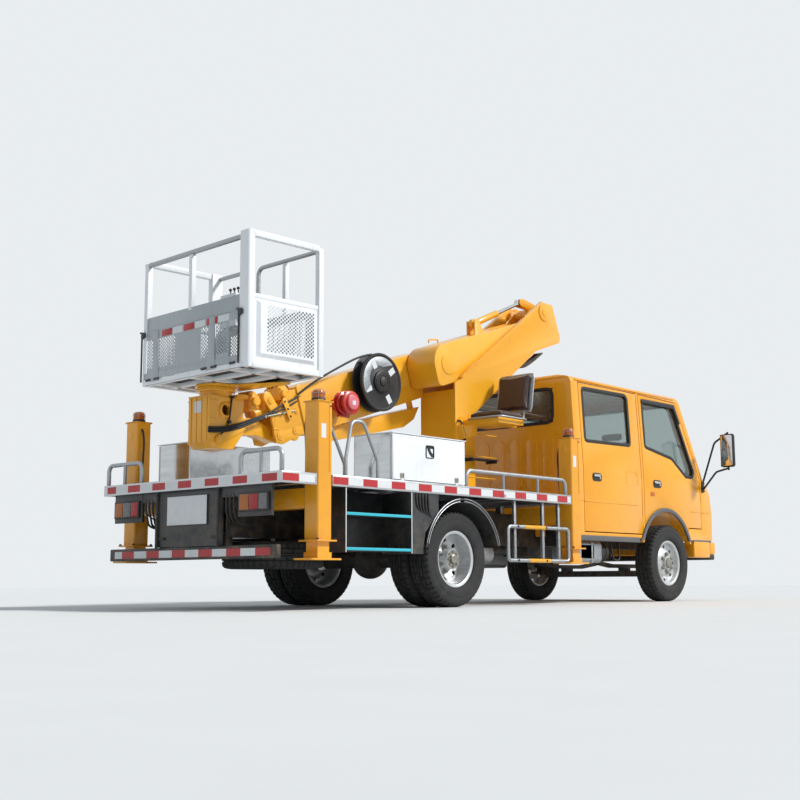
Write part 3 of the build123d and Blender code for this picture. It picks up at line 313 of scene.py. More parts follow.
def turn_about(obj, angle, axis, about, to=None):
    """Turns a mesh round an axis through a drawing point, and moves that point if another one is given."""
    place = Matrix.Translation(spot(*(to or about)))
    obj.data.transform(place @ Matrix.Rotation(angle, 4, axis) @ Matrix.Translation(-spot(*about)))
    return obj


def mirrored(obj):
    """A copy on the truck's other side, its faces turned outward again."""
    twin = copy_at(obj, matrix=Matrix.Scale(-1, 4, (0, 1, 0)))
    twin.data.flip_normals()
    return twin


def coat(obj, material):
    obj.data.materials.clear()
    obj.data.materials.append(material)
    return obj


def hand_over(parts, name, node, finish, stands_for=()):
    """Joins the parts of a piece, names and paints it, and ties it to the body of a CAD node."""
    obj = join(parts) if isinstance(parts, list) else parts
    obj.name = obj.data.name = name
    coat(obj, LOOKS[finish])
    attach(obj, NODES[node]["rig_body"])
    if stands_for:
        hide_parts(*stands_for)
    return obj


def dress(node, finish, bevel, segments):
    """A merged copy of a CAD node with rounded edges that stands for it."""
    obj = from_points([])
    obj.data = NODES[node].data.copy()
    edit(obj)
    bpy.ops.mesh.remove_doubles(threshold=1e-5)
    bpy.ops.mesh.dissolve_limited(angle_limit=radians(0.6))
    bpy.ops.object.mode_set(mode="OBJECT")
    modify(obj, "BEVEL", width=mm(bevel), segments=segments, limit_method="ANGLE", angle_limit=radians(40),
           use_clamp_overlap=True)
    smooth(obj, 35)
    return hand_over(obj, node + "_finish", node, finish, [node])


# Materials

def tint(code):
    """An sRGB hex colour as linear red, green, blue and alpha; a colour from the panel stays as it is."""
    if not isinstance(code, str):
        return list(code)
    parts = [int(code[i:i + 2], 16) / 255 for i in (0, 2, 4)]
    return [c / 12.92 if c <= 0.04045 else ((c + 0.055) / 1.055) ** 2.4 for c in parts] + [1]


def feed(tree, node, inputs):
    """Links or fills the inputs of a shader node."""
    for key, value in inputs.items():
        if isinstance(value, bpy.types.NodeSocket):
            tree.links.new(value, node.inputs[key])
        else:
            node.inputs[key].default_value = value
    return node


def add(tree, kind, inputs=None, **settings):
    """Adds a shader node, sets its properties, and fills or links its inputs."""
    new = tree.nodes.new(kind)
    for key, value in settings.items():
        setattr(new, key, value)
    return feed(tree, new, inputs or {})


def start(name):
    """A new material's tree with its output, its shader and the object coordinates."""
    material = bpy.data.materials.new(name)
    material.use_nodes = True
    tree = material.node_tree
    tree.nodes.clear()
    shader = tree.nodes.new("ShaderNodeBsdfPrincipled")
    output = tree.nodes.new("ShaderNodeOutputMaterial")
    tree.links.new(shader.outputs[0], output.inputs[0])
    place = tree.nodes.new("ShaderNodeTexCoord").outputs["Object"]
    return material, tree, shader, place


def per_metre(size_mm):
    """The noise scale whose features are about this many mm across."""
    return 1000 / size_mm


def weathered(name, paint, dust="8D7B61", roughness=0.32, coat_weight=0.35, metallic=0.0, dirt=0.35,
              height=1.0, fade=0.06, peel=14, streaks=0.0):
    """Stoved enamel on steel: faded in patches, dustier towards the ground, with a soft orange peel."""
    material, tree, shader, place = start(name)
    patches = add(tree, "ShaderNodeTexNoise", {"Vector": place, "Scale": per_metre(700), "Detail": 3})
    shade = add(tree, "ShaderNodeMapRange",
                {"Value": patches.outputs[0], "From Min": 0.3, "From Max": 0.7, "To Min": 1 - fade,
                 "To Max": 1 + fade})
    base = add(tree, "ShaderNodeHueSaturation", {"Color": tint(paint), "Value": shade.outputs[0]})
    parts = add(tree, "ShaderNodeSeparateXYZ", {"Vector": place})
    low = add(tree, "ShaderNodeMapRange",
              {"Value": parts.outputs["Z"], "From Min": 0.2, "From Max": height, "To Min": 1,
               "To Max": 0.08})
    grime = add(tree, "ShaderNodeTexNoise",
                {"Vector": place, "Scale": per_metre(90), "Detail": 8, "Roughness": 0.65})
    speck = add(tree, "ShaderNodeMapRange",
                {"Value": grime.outputs[0], "From Min": 0.42, "From Max": 0.72, "To Min": 0,
                 "To Max": dirt})
    amount = add(tree, "ShaderNodeMath", {0: speck.outputs[0], 1: low.outputs[0]}, operation="MULTIPLY")
    dusty = add(tree, "ShaderNodeMix", {0: amount.outputs[0], 6: base.outputs[0], 7: tint(dust)},
                data_type="RGBA")
    colour = dusty.outputs[2]
    if streaks:
        stretch = add(tree, "ShaderNodeMapping", {"Vector": place, "Scale": (1, 1, 0.06)})
        run = add(tree, "ShaderNodeTexNoise",
                  {"Vector": stretch.outputs[0], "Scale": per_metre(22), "Detail": 4})
        thin = add(tree, "ShaderNodeMapRange",
                   {"Value": run.outputs[0], "From Min": 0.56, "From Max": 0.76, "To Min": 0,
                    "To Max": streaks})
        stained = add(tree, "ShaderNodeMix", {0: thin.outputs[0], 6: colour, 7: tint("6E5A44")},
                      data_type="RGBA")
        colour = stained.outputs[2]
    rough = add(tree, "ShaderNodeMapRange",
                {"Value": grime.outputs[0], "From Min": 0.3, "From Max": 0.8, "To Min": roughness - 0.05,
                 "To Max": roughness + 0.14})
    ripple = add(tree, "ShaderNodeTexNoise", {"Vector": place, "Scale": per_metre(peel), "Detail": 2})
    bump = add(tree, "ShaderNodeBump", {"Height": ripple.outputs[0], "Strength": 0.05, "Distance": 0.002})
    feed(tree, shader, {"Base Color": colour, "Roughness": rough.outputs[0], "Normal": bump.outputs[0],
                        "Metallic": metallic, "Coat Weight": coat_weight, "Coat Roughness": 0.12})
    return material


def moulded(name, paint, roughness=0.55, grain=2.5, depth=0.25, dirt=0.25, dust="8D7B61", height=1.2):
    """Moulded ABS, rubber or leather: a fine grain that catches the light, and dust near the road."""
    material, tree, shader, place = start(name)
    grit = add(tree, "ShaderNodeTexVoronoi", {"Vector": place, "Scale": per_metre(grain)})
    bump = add(tree, "ShaderNodeBump",
               {"Height": grit.outputs["Distance"], "Strength": depth, "Distance": 0.0006})
    parts = add(tree, "ShaderNodeSeparateXYZ", {"Vector": place})
    low = add(tree, "ShaderNodeMapRange",
              {"Value": parts.outputs["Z"], "From Min": 0.1, "From Max": height, "To Min": 1,
               "To Max": 0.15})
    cloud = add(tree, "ShaderNodeTexNoise",
                {"Vector": place, "Scale": per_metre(60), "Detail": 7, "Roughness": 0.6})
    speck = add(tree, "ShaderNodeMapRange",
                {"Value": cloud.outputs[0], "From Min": 0.4, "From Max": 0.7, "To Min": 0, "To Max": dirt})
    amount = add(tree, "ShaderNodeMath", {0: speck.outputs[0], 1: low.outputs[0]}, operation="MULTIPLY")
    dusty = add(tree, "ShaderNodeMix", {0: amount.outputs[0], 6: tint(paint), 7: tint(dust)},
                data_type="RGBA")
    rough = add(tree, "ShaderNodeMapRange",
                {"Value": cloud.outputs[0], "From Min": 0.3, "From Max": 0.7, "To Min": roughness - 0.06,
                 "To Max": roughness + 0.1})
    feed(tree, shader, {"Base Color": dusty.outputs[2], "Roughness": rough.outputs[0],
                        "Normal": bump.outputs[0]})
    return material


def bare_metal(name, paint, roughness=0.35, metallic=1.0, grain=(1, 1, 1), wear=0.1, size=30):
    """Bare or plated metal: a stretched grain in its polish, in brighter and duller patches."""
    material, tree, shader, place = start(name)
    drawn = add(tree, "ShaderNodeMapping", {"Vector": place, "Scale": grain})
    lines = add(tree, "ShaderNodeTexNoise",
                {"Vector": drawn.outputs[0], "Scale": per_metre(size), "Detail": 6})
    rough = add(tree, "ShaderNodeMapRange",
                {"Value": lines.outputs[0], "From Min": 0.3, "From Max": 0.7,
                 "To Min": max(0.04, roughness - wear), "To Max": roughness + wear})
    shade = add(tree, "ShaderNodeMapRange",
                {"Value": lines.outputs[0], "From Min": 0.3, "From Max": 0.7, "To Min": 0.86,
                 "To Max": 1.08})
    base = add(tree, "ShaderNodeHueSaturation", {"Color": tint(paint), "Value": shade.outputs[0]})
    feed(tree, shader, {"Base Color": base.outputs[0], "Roughness": rough.outputs[0], "Metallic": metallic})
    return material


def clear(name, paint, transmission=0.95, roughness=0.03, ribs=0.0, ior=1.5):
    """Glass or a clear lens: tinted through its thickness, with moulded ribs where a lens has them."""
    material, tree, shader, place = start(name)
    haze = add(tree, "ShaderNodeTexNoise", {"Vector": place, "Scale": per_metre(120), "Detail": 5})
    rough = add(tree, "ShaderNodeMapRange",
                {"Value": haze.outputs[0], "From Min": 0.35, "From Max": 0.75, "To Min": roughness,
                 "To Max": roughness + 0.08})
    if ribs:
        wave = add(tree, "ShaderNodeTexWave", {"Vector": place, "Scale": per_metre(ribs) / 6.3},
                   bands_direction="Z")
        bump = add(tree, "ShaderNodeBump", {"Height": wave.outputs[0], "Strength": 0.6, "Distance": 0.002})
        feed(tree, shader, {"Normal": bump.outputs[0]})
    feed(tree, shader, {"Base Color": tint(paint), "Roughness": rough.outputs[0],
                        "Transmission Weight": transmission, "IOR": ior})
    return material


def woven(name, paint, thread=3.0):
    """Woven seat cloth: crossed threads that break up the light, with a soft sheen at grazing angles."""
    material, tree, shader, place = start(name)
    waves = []
    for direction in ("X", "Z"):
        waves.append(add(tree, "ShaderNodeTexWave",
                         {"Vector": place, "Scale": per_metre(thread) / 6.3, "Distortion": 0.4},
                         bands_direction=direction))
    cross = add(tree, "ShaderNodeMath", {0: waves[0].outputs[1], 1: waves[1].outputs[1]},
                operation="MAXIMUM")
    shade = add(tree, "ShaderNodeMapRange", {"Value": cross.outputs[0], "To Min": 0.75, "To Max": 1.1})
    base = add(tree, "ShaderNodeHueSaturation", {"Color": tint(paint), "Value": shade.outputs[0]})
    bump = add(tree, "ShaderNodeBump", {"Height": cross.outputs[0], "Strength": 0.5, "Distance": 0.001})
    feed(tree, shader, {"Base Color": base.outputs[0], "Normal": bump.outputs[0], "Roughness": 0.85,
                        "Sheen Weight": 0.25})
    return material


def make_materials(colours):
    """Every finish on the truck, named for what it is."""
    return {
        # Golden stoved enamel of the cab and columns, glossy with a little dust low down.
        "enamel_gold": weathered("enamel_gold", colours.enamel, height=1.3, dirt=0.3, roughness=0.27),
        # The same enamel on the arm's plates, thinner and more faded by the sun.
        "enamel_arm": weathered("enamel_arm", "F5AE22", height=0.9, dirt=0.2, fade=0.08, roughness=0.3),
        # White enamel on the basket's steel, streaked below its fittings.
        "enamel_white": weathered("enamel_white", "E9ECEE", height=0.6, dirt=0.2, roughness=0.34,
                                  streaks=0.16),
        # White enamel with painted shade: pale grey-blue, as the white sheets look where they face away from
        # the light, on the basket's back sheets.
        "white_enamel_painted_shade": weathered("white_enamel_painted_shade", "A9B0B3", height=0.6, dirt=0.2, roughness=0.42, streaks=0.25),
        # Black chassis paint, dull with dried road dust.
        "chassis_black": weathered("chassis_black", "17181A", roughness=0.5, coat_weight=0.05, dirt=0.6),
        # Charcoal paint on the panels below the deck.
        "panel_charcoal": weathered("panel_charcoal", "24272B", roughness=0.42, coat_weight=0.1, dirt=0.45),
        # Silver wheel enamel with metal flake.
        "wheel_silver": weathered("wheel_silver", "C6C9CB", roughness=0.36, metallic=0.55, dirt=0.5,
                                  height=0.8),
        # Hot-dip galvanised steel of the tank shelf, guards and brackets.
        "galvanised": bare_metal("galvanised", "A8ABAD", roughness=0.48, wear=0.12, size=18),
        # Brushed aluminium profile of the deck's edge.
        "brushed_aluminium": bare_metal("brushed_aluminium", "C3C6C8", roughness=0.34,
                                        grain=(0.05, 1, 1), size=6),
        # Hard chrome on rods and handles, mirror bright.
        "hard_chrome": bare_metal("hard_chrome", "D9DADB", roughness=0.09, wear=0.03),
        # Polished stainless sheet on the toolbox ends, which mirrors what stands round it.
        "stainless": bare_metal("stainless", "C9CBCC", roughness=0.14, wear=0.05, grain=(1, 0.1, 1), size=40),
        # Zinc-plated fasteners, dull yellow-grey.
        "zinc_plate": bare_metal("zinc_plate", "9C9A90", roughness=0.4),
        # Cast iron of the engine and axle housings.
        "cast_iron": weathered("cast_iron", "3A3B3D", roughness=0.6, coat_weight=0, dirt=0.6, peel=6),
        # Tyre rubber: nearly black, matt, grey with dust on its shoulders.
        "tyre_rubber": moulded("tyre_rubber", "1C1C1D", roughness=0.8, grain=5, dirt=0.16, dust="77746C"),
        # EPDM rubber of window gaskets and hoses.
        "epdm_rubber": moulded("epdm_rubber", "0E0E0F", roughness=0.5, grain=4, depth=0.1, dirt=0.12),
        # Grained ABS of mirrors, dash and handles: black, with a fine grain that breaks up highlights.
        "abs_black": moulded("abs_black", "17181A", roughness=0.5),
        # The same plastic, greyed by the weather, on the arch flares and sills.
        "abs_grey": moulded("abs_grey", "55585B", roughness=0.5, dirt=0.35),
        # Oiled brown leatherette on the operator's seat.
        "leatherette": moulded("leatherette", "3B2722", roughness=0.42, grain=4, depth=0.35, dirt=0.1),
        # Woven cloth of the cab seats.
        "seat_cloth": woven("seat_cloth", "6C6A66"),
        # Tempered window glass, tinted grey-green.
        "tempered_glass": clear("tempered_glass", "C3CFCC", roughness=0.01),
        # Lenses of moulded acrylic, ribbed inside so that they scatter the light.
        "acrylic_amber": clear("acrylic_amber", "F58A1E", transmission=0.55, roughness=0.12, ribs=9),
        # Deeper and less clear, so that the tail lamp reads red unlit.
        "acrylic_red": clear("acrylic_red", "C8161B", transmission=0.35, roughness=0.12, ribs=8),
        # Nearly colourless, to show the reflectors behind it.
        "acrylic_clear": clear("acrylic_clear", "EDEFF0", transmission=0.85, roughness=0.06, ribs=10),
        # Signal-red powder coat of the siren.
        "powder_red": weathered("powder_red", "C4231C", roughness=0.35, dirt=0.1),
        # Reflective sheeting: pressed cells under a clear film, bright and finely speckled.
        "sheeting_red": moulded("sheeting_red", "B3262B", roughness=0.3, grain=6, depth=0.3, dirt=0.15),
        # Its white half, a little dirtier.
        "sheeting_white": moulded("sheeting_white", "DADDDE", roughness=0.3, grain=6, depth=0.3, dirt=0.2),
        # Cyan strip on the steps, the coolest colour on the truck.
        "sheeting_cyan": moulded("sheeting_cyan", "27B7C9", roughness=0.35, grain=6, depth=0.3, dirt=0.15),
        # Sun-bleached red film on the siren's face.
        "sheeting_pink": moulded("sheeting_pink", "D9737C", roughness=0.4, grain=6, depth=0.2, dirt=0.1),
        # Warm yellow film wrapped round the guard tubes.
        "sheeting_yellow": moulded("sheeting_yellow", "E9A81E", roughness=0.35, grain=6, depth=0.2, dirt=0.2),
    }


# The truck's operators

class TruckColours(bpy.types.PropertyGroup):
    enamel: bpy.props.FloatVectorProperty(name="Enamel", description="Main colour of the cab and the arm",
                                          subtype="COLOR", size=4, default=tuple(tint("F2A516")))


class TruckSizes(bpy.types.PropertyGroup):
    edge: bpy.props.FloatProperty(name="Edge radius", description="Rounding of folded steel edges",
                                  subtype="DISTANCE", unit="LENGTH", default=0.0025)
    floor: bpy.props.FloatProperty(name="Floor size", description="Width of the studio floor",
                                   subtype="DISTANCE", unit="LENGTH", default=80.0)


CAMERA_PLACE = (-7504, -7044, 194)
CAMERA_TURN = (radians(41.8), radians(8.36), radians(-0.2))


class TRUCK_OT_stage(bpy.types.Operator):
    """Floor, lights, sky and the camera at the photograph's place"""
    bl_idname = "truck.stage"
    bl_label = "Stage and camera"

    def execute(self, context):
        deselect()
        bpy.ops.mesh.primitive_plane_add(size=context.scene.truck_sizes.floor)
        floor = bpy.context.object
        floor.name = "studio_floor"
        floor.visible_glossy = True
        # Smooth pale concrete, matt, so that only the shadow shows on it.
        concrete, tree, shader, place = start("studio_concrete")
        mottle = add(tree, "ShaderNodeTexNoise", {"Vector": place, "Scale": per_metre(400), "Detail": 5})
        shade = add(tree, "ShaderNodeMapRange",
                    {"Value": mottle.outputs[0], "To Min": 0.97, "To Max": 1.03})
        base = add(tree, "ShaderNodeHueSaturation", {"Color": tint("E4E4E2"), "Value": shade.outputs[0]})
        feed(tree, shader, {"Base Color": base.outputs[0], "Roughness": 0.9})
        coat(floor, concrete)

        world = bpy.data.worlds.new("studio_sky")
        context.scene.world = world
        world.use_nodes = True
        tree = world.node_tree
        tree.nodes.clear()
        path = tree.nodes.new("ShaderNodeLightPath")
        bent = add(tree, "ShaderNodeMath",
                   {0: path.outputs["Is Glossy Ray"], 1: path.outputs["Is Transmission Ray"]},
                   operation="MAXIMUM")
        seen = add(tree, "ShaderNodeMath", {0: path.outputs["Is Camera Ray"], 1: bent.outputs[0]},
                   operation="MAXIMUM")
        fill = add(tree, "ShaderNodeBackground", {"Color": tint("DDE8F2"), "Strength": 0.5})
        shown = add(tree, "ShaderNodeBackground", {"Color": tint("E9EDF0"), "Strength": 1.0})
        mix = add(tree, "ShaderNodeMixShader",
                  {0: seen.outputs[0], 1: fill.outputs[0], 2: shown.outputs[0]})
        output = tree.nodes.new("ShaderNodeOutputWorld")
        tree.links.new(mix.outputs[0], output.inputs[0])

        sun = bpy.data.lights.new("softbox", "SUN")
        sun.energy, sun.angle = 3.1, radians(9)
        lamp = bpy.data.objects.new("softbox", sun)
        context.scene.collection.objects.link(lamp)
        lamp.rotation_mode = "QUATERNION"
        lamp.rotation_quaternion = Vector((0.5, -0.85, 0.8)).to_track_quat("Z", "Y")

        camera = bpy.data.cameras.new("photo_camera")
        camera.sensor_width, camera.lens = 36, 55.77
        camera.clip_start, camera.clip_end = 0.05, 500
        view = bpy.data.objects.new("photo_camera", camera)
        context.scene.collection.objects.link(view)
        yaw, pitch, roll = CAMERA_TURN
        forward = Vector((cos(pitch) * cos(yaw), cos(pitch) * sin(yaw), sin(pitch)))
        right = Vector((sin(yaw), -cos(yaw), 0))
        up = right.cross(forward)
        right, up = cos(roll) * right + sin(roll) * up, -sin(roll) * right + cos(roll) * up
        turn = Matrix((right, up, -forward)).transposed().to_4x4()
        view.matrix_world = Matrix.Translation(spot(*CAMERA_PLACE)) @ turn
        context.scene.camera = view
        context.scene.view_settings.view_transform = "Standard"
        return {"FINISHED"}


# CAD pieces whose copies get rounded edges, by finish: folded sheet and plate, rolled stock, cylinder barrels
FOLDED = {
    "enamel_arm": ("turret", "boom_base", "boom_inner", "basket_mount"),
    "enamel_gold": ("outrigger_columns", "cab_shell", "front_door_left", "front_door_right",
                    "rear_door_left", "rear_door_right"),
    "enamel_white": ("toolboxes", "toolbox_door_left", "toolbox_door_right"),
    "chassis_black": ("slew_base",), "brushed_aluminium": ("deck",), "panel_charcoal": ("rear_panel",),
    "galvanised": ("side_tanks",),
}
ROLLED = {
    "chassis_black": ("chassis_frame", "leaf_springs"), "galvanised": ("deck_rails",),
    "panel_charcoal": ("rear_fenders",), "cast_iron": ("axles", "drivetrain"),
    "hard_chrome": ("luff_rod", "level_rod"),
}
BARRELS = {"enamel_arm": ("luff_barrel", "level_barrel")}
# CAD pieces that are painted as they are
PAINTED = {
    "cast_iron": ("knuckle_left", "knuckle_right"),
    "tyre_rubber": ("spare_wheel", "front_tyre_left", "front_tyre_right", "rear_tyres_left",
                    "rear_tyres_right"),
    "wheel_silver": ("front_rim_left", "front_rim_right", "rear_rims_left", "rear_rims_right"),
    "enamel_gold": ("jack_leg_front_left", "jack_leg_front_right", "jack_leg_rear_left",
                    "jack_leg_rear_right", "luff_barrel", "level_barrel"),
    # basket_panels takes white enamel with painted shade.
    "enamel_white": ("basket_frame",), "white_enamel_painted_shade": ("basket_panels",),
    "abs_black": ("mirrors", "dashboard", "cable_drum"),
    "seat_cloth": ("cab_seats",), "leatherette": ("operator_seat",), "powder_red": ("siren",),
    "acrylic_amber": ("lamps",),
    "tempered_glass": ("cab_glass", "front_door_glass_left", "front_door_glass_right", "rear_door_glass_left",
                       "rear_door_glass_right"),
}


class TRUCK_OT_frame_finish(bpy.types.Operator):
    """Rounded edges and finishes on the CAD pieces that keep their shape"""
    bl_idname = "truck.frame_finish"
    bl_label = "Finish the frame's pieces"

    def execute(self, context):
        edge = context.scene.truck_sizes.edge * 1000
        for table, width, segments in ((FOLDED, edge, 2), (ROLLED, 1.5, 1), (BARRELS, 2, 2)):
            for finish, nodes in table.items():
                for node in nodes:
                    dress(node, finish, width, segments)
        for finish, nodes in PAINTED.items():
            for node in nodes:
                coat(NODES[node], LOOKS[finish])
        return {"FINISHED"}


BASKET_AT = (-1452, 86)
BASKET_TURN = radians(-3.3)
BASKET_HALF = (355, 657)
BASKET_FLOOR, BASKET_RAIL = 1697, 2692
PANEL_TOP = 2230
SHEET = 3
HOLE, HOLE_PITCH, HOLE_ROW = 18, 34, 14
SWING_AXIS = (-1420, 300)


def seat_basket(parts):
    """Joins parts drawn about the basket's own middle, and turns and moves them to the basket's place."""
    return turn_about(join(parts), BASKET_TURN, "Z", (0, 0, 0), (*BASKET_AT, 0))


def pierce(obj, axis, first, plane, counts, hole=HOLE, pitch=HOLE_PITCH, row=HOLE_ROW):
    """Punches a staggered field of round holes through a sheet."""
    turn = {"X": (0, pi / 2, 0), "Y": (pi / 2, 0, 0)}[axis]
    drills = []
    for shift in (0, 1):
        deselect()
        bpy.ops.mesh.primitive_cylinder_add(vertices=12, radius=mm(hole / 2), depth=0.06, rotation=turn)
        drill = settle(bpy.context.object)
        place = spot(*on_plane(axis, first[0] + shift * pitch / 2, first[1] + shift * row, plane))
        drill.data.transform(Matrix.Translation(place))
        along, up = Vector(on_plane(axis, mm(pitch), 0, 0)), Vector(on_plane(axis, 0, mm(2 * row), 0))
        modify(drill, "ARRAY", count=counts[0], use_relative_offset=False, use_constant_offset=True,
               constant_offset_displace=along)
        modify(drill, "ARRAY", count=counts[1], use_relative_offset=False, use_constant_offset=True,
               constant_offset_displace=up)
        drills.append(drill)
    cutter = join(drills)
    modify(obj, "BOOLEAN", operation="DIFFERENCE", solver="MANIFOLD", object=cutter)
    bpy.data.objects.remove(cutter)
    return smooth(obj, 30)


def dished_sheet(x0, x1, z0, z1, y, depth=26, step=-1):
    """A pressed panel on a side of the basket: a flat border round a shallow dish."""
    obj = from_points([spot(x0, y, z0), spot(x1, y, z0), spot(x1, y, z1), spot(x0, y, z1)], [(0, 1, 2, 3)])
    edit(obj)
    bpy.ops.mesh.inset(thickness=mm(34), depth=0)
    bpy.ops.mesh.inset(thickness=mm(26), depth=mm(depth) * step)
    bpy.ops.object.mode_set(mode="OBJECT")
    modify(obj, "SOLIDIFY", thickness=mm(SHEET), offset=0)
    return outward(obj)


class TRUCK_OT_basket_frame(bpy.types.Operator):
    """Square tubes, folded corner posts and round handrails of the work basket"""
    bl_idname = "truck.basket_frame"
    bl_label = "Basket frame"

    def execute(self, context):
        half_x, half_y = BASKET_HALF
        z0, z1, tube_w = BASKET_FLOOR, BASKET_RAIL, 45
        steel = []
        for sx, sy, wide_x, wide_y in ((-1, -1, 56, 100), (1, 1, 100, 56), (-1, 1, tube_w, tube_w),
                                       (1, -1, tube_w, tube_w)):
            outer = (sx * half_x, sy * half_y)
            inner = (sx * (half_x - wide_x), sy * (half_y - wide_y))
            bend = 22 if max(wide_x, wide_y) > tube_w else 5
            corner = [(inner[0], inner[1]), (outer[0], inner[1])]
            for k in range(5):
                a = k / 4 * pi / 2
                corner.append((outer[0] - sx * bend * (1 - cos(a)), outer[1] - sy * bend * (1 - sin(a))))
            corner.append((inner[0], outer[1]))
            steel.append(plate(corner, "Z", z0, z1 if bend > 5 else z1 - 22, 2))
        for side in (-1, 1):
            y0, y1 = across(side, half_y, half_y - tube_w)
            for z in (z0, z1 - tube_w):
                steel.append(block((-half_x + 40, y0, z), (half_x - 40, y1, z + tube_w), 4))
            steel.append(block((-half_x + 40, y0 + 8, PANEL_TOP - 30), (half_x - 40, y1 - 8, PANEL_TOP), 3))
        for x in (-half_x, half_x - 40):
            steel.append(block((x, -half_y + 50, z0), (x + 40, half_y - 50, z0 + 6), 1))
            edge = x if x < 0 else x + 34
            steel.append(block((edge, -half_y + 50, z0), (edge + 6, half_y - 50, z0 + 42), 1))
        for x in (-120, 110):
            steel.append(block((x, -half_y + 20, z0 + 2), (x + 36, half_y - 20, z0 + 36), 2))
        for y in (-420, 60, 500):
            steel.append(block((-half_x + 6, y, z0 + 2), (half_x - 6, y + 36, z0 + 36), 2))
        for y in (-560, -120, 340, 600):
            steel.append(block((-half_x + 1, y, z0), (-half_x + 7, y + 44, z0 + 70), 1))
        steel.append(block((-half_x + 4, 34, PANEL_TOP - 20), (-half_x + 42, 74, z1 - 55), 3))
        steel.append(block((half_x - 44, -258, PANEL_TOP - 20), (half_x - 6, -222, z1 - 60), 3))
        hand_over(seat_basket(steel), "basket_steel", "basket_frame", "enamel_white", ["basket_frame"])

        rail_x, rail_z = half_x - 24, z1 - 37
        rails = [tube([(-rail_x, -half_y + 60, rail_z - 8), (-rail_x - 4, -half_y + 130, rail_z),
                       (-rail_x - 4, half_y + 2, rail_z)], 20, 60)]
        for start_y, bend_y in ((half_y - 60, 240), (-half_y + 30, 100)):
            rails.append(tube([(rail_x, start_y, rail_z), (rail_x, bend_y, rail_z),
                               (rail_x, bend_y, PANEL_TOP - 10)], 17, 60))
        rails.append(block((-rail_x - 14, 30, rail_z - 26), (-rail_x + 14, 78, rail_z - 14), 2))
        hand_over(seat_basket(rails), "basket_handrails", "basket_frame", "galvanised")
        return {"FINISHED"}


class TRUCK_OT_basket_panels(bpy.types.Operator):
    """Perforated side panels, the drop gate with its straps and hooks, the control boxes and the floor"""
    bl_idname = "truck.basket_panels"
    bl_label = "Basket panels"

    def execute(self, context):
        half_x, half_y = BASKET_HALF
        z0 = BASKET_FLOOR
        sides = []
        for side in (-1, 1):
            y = side * (half_y - 14)
            sheet = dished_sheet(-half_x + 50, half_x - 44, z0 + 44, PANEL_TOP - 8, y, 22, 1)
            sides.append(pierce(sheet, "Y", (-178, z0 + 130), y, (13, 12)))
        hand_over(seat_basket(sides), "basket_side_panels", "basket_panels", "enamel_white",
                  ["basket_panels"])

        front = block((half_x - 22, -half_y + 48, z0 + 40), (half_x - 22 + SHEET, half_y - 48, PANEL_TOP),
                      0)
        sheets = [pierce(front, "X", (-460, z0 + 130), half_x - 20, (27, 12)),
                  block((-half_x + 8, -half_y + 101, 2110), (-half_x + 11, half_y - 44, PANEL_TOP), 0.8)]
        gate_top, gate_foot = 2055, 1772
        for y0, y1, holes in ((-430, -281, 4), (-193, -96, 3), (-92, 222, 0), (226, 447, 6), (519, 600, 2)):
            leaf = block((-half_x + 4, y0, gate_foot), (-half_x + 7, y1, gate_top), 0)
            if holes:
                leaf = pierce(leaf, "X", (y0 + 18, gate_foot + 60), -half_x + 5, (holes, 8))
            sheets.append(leaf)
        for y in (-237, 483):
            sheets.append(plate([(y - 36, 2110), (y + 30, 2110), (y + 30, 1850), (y + 60, 1790),
                                 (y + 60, 1720), (y - 50, 1720), (y - 36, 1830)],
                                "X", -half_x - 4, -half_x + 2, 1))
        sheets.append(block((-half_x - 1, -half_y + 110, 1742), (-half_x + 3, half_y - 20, 1792), 1.5))
        sheets.append(block((-half_x + 1, -half_y + 108, 2050), (-half_x + 5, half_y - 20, 2112), 1.5))
        # The gate, front and back sheets take white enamel with painted shade, greyed as white looks facing
        # away from the light.
        hand_over(seat_basket(sheets), "basket_gate", "basket_panels", "white_enamel_painted_shade")

        tape = []
        for k in range(6):
            y0 = 403 - 143 * k
            tape.append(block((-half_x - 2, y0 - 130, 2057), (-half_x + 1.4, y0, 2106), 0.5))
        hand_over(seat_basket(tape[0::2]), "basket_tape_red", "basket_panels", "sheeting_red")
        hand_over(seat_basket(tape[1::2]), "basket_tape_white", "basket_panels", "sheeting_white")

        iron = []
        for y in (-half_y + 78, half_y - 10):
            iron.append(tube([(-half_x - 12, y, 2070), (-half_x - 12, y - 30, 2110),
                              (-half_x - 6, y + 44, 2124)], 7, 14))
            iron.append(block((-half_x - 14, y - 26, 2078), (-half_x + 2, y + 26, 2112), 3))
            iron.append(tube([(-half_x - 6, y + 20, 1730), (-half_x - 6, y + 20, 2080)], 7))
        for y in (-300, -180, 430, 540, -520):
            iron.append(turned([(0, 0), (9, 0), (9, 60), (0, 60)], (-half_x - 4, y, 1738), "Y", 16))
        hand_over(seat_basket(iron), "basket_hooks", "basket_panels", "cast_iron")

        floor = block((-half_x + 6, -half_y + 6, z0 + 37), (half_x - 6, half_y - 6, z0 + 41), 1)
        hand_over(seat_basket([floor]), "basket_floor", "basket_panels", "chassis_black")

        boxes = [block((130, 130, PANEL_TOP - 60), (half_x - 50, 330, 2440), 8, 3),
                 block((150, 118, PANEL_TOP - 20), (half_x - 70, 131, 2420), 4)]
        hand_over(seat_basket(boxes), "basket_control_box", "basket_frame", "enamel_white")
        levers = []
        for k in range(4):
            y = 155 + 50 * k
            levers.append(tube([(220, y, 2435), (214, y, 2490)], 5))
            levers.append(turned([(0, 0), (11, 3), (13, 12), (9, 22), (0, 24)], (213, y, 2486), "Z", 20))
        hand_over(seat_basket(levers), "basket_levers", "basket_frame", "abs_black")
        return {"FINISHED"}


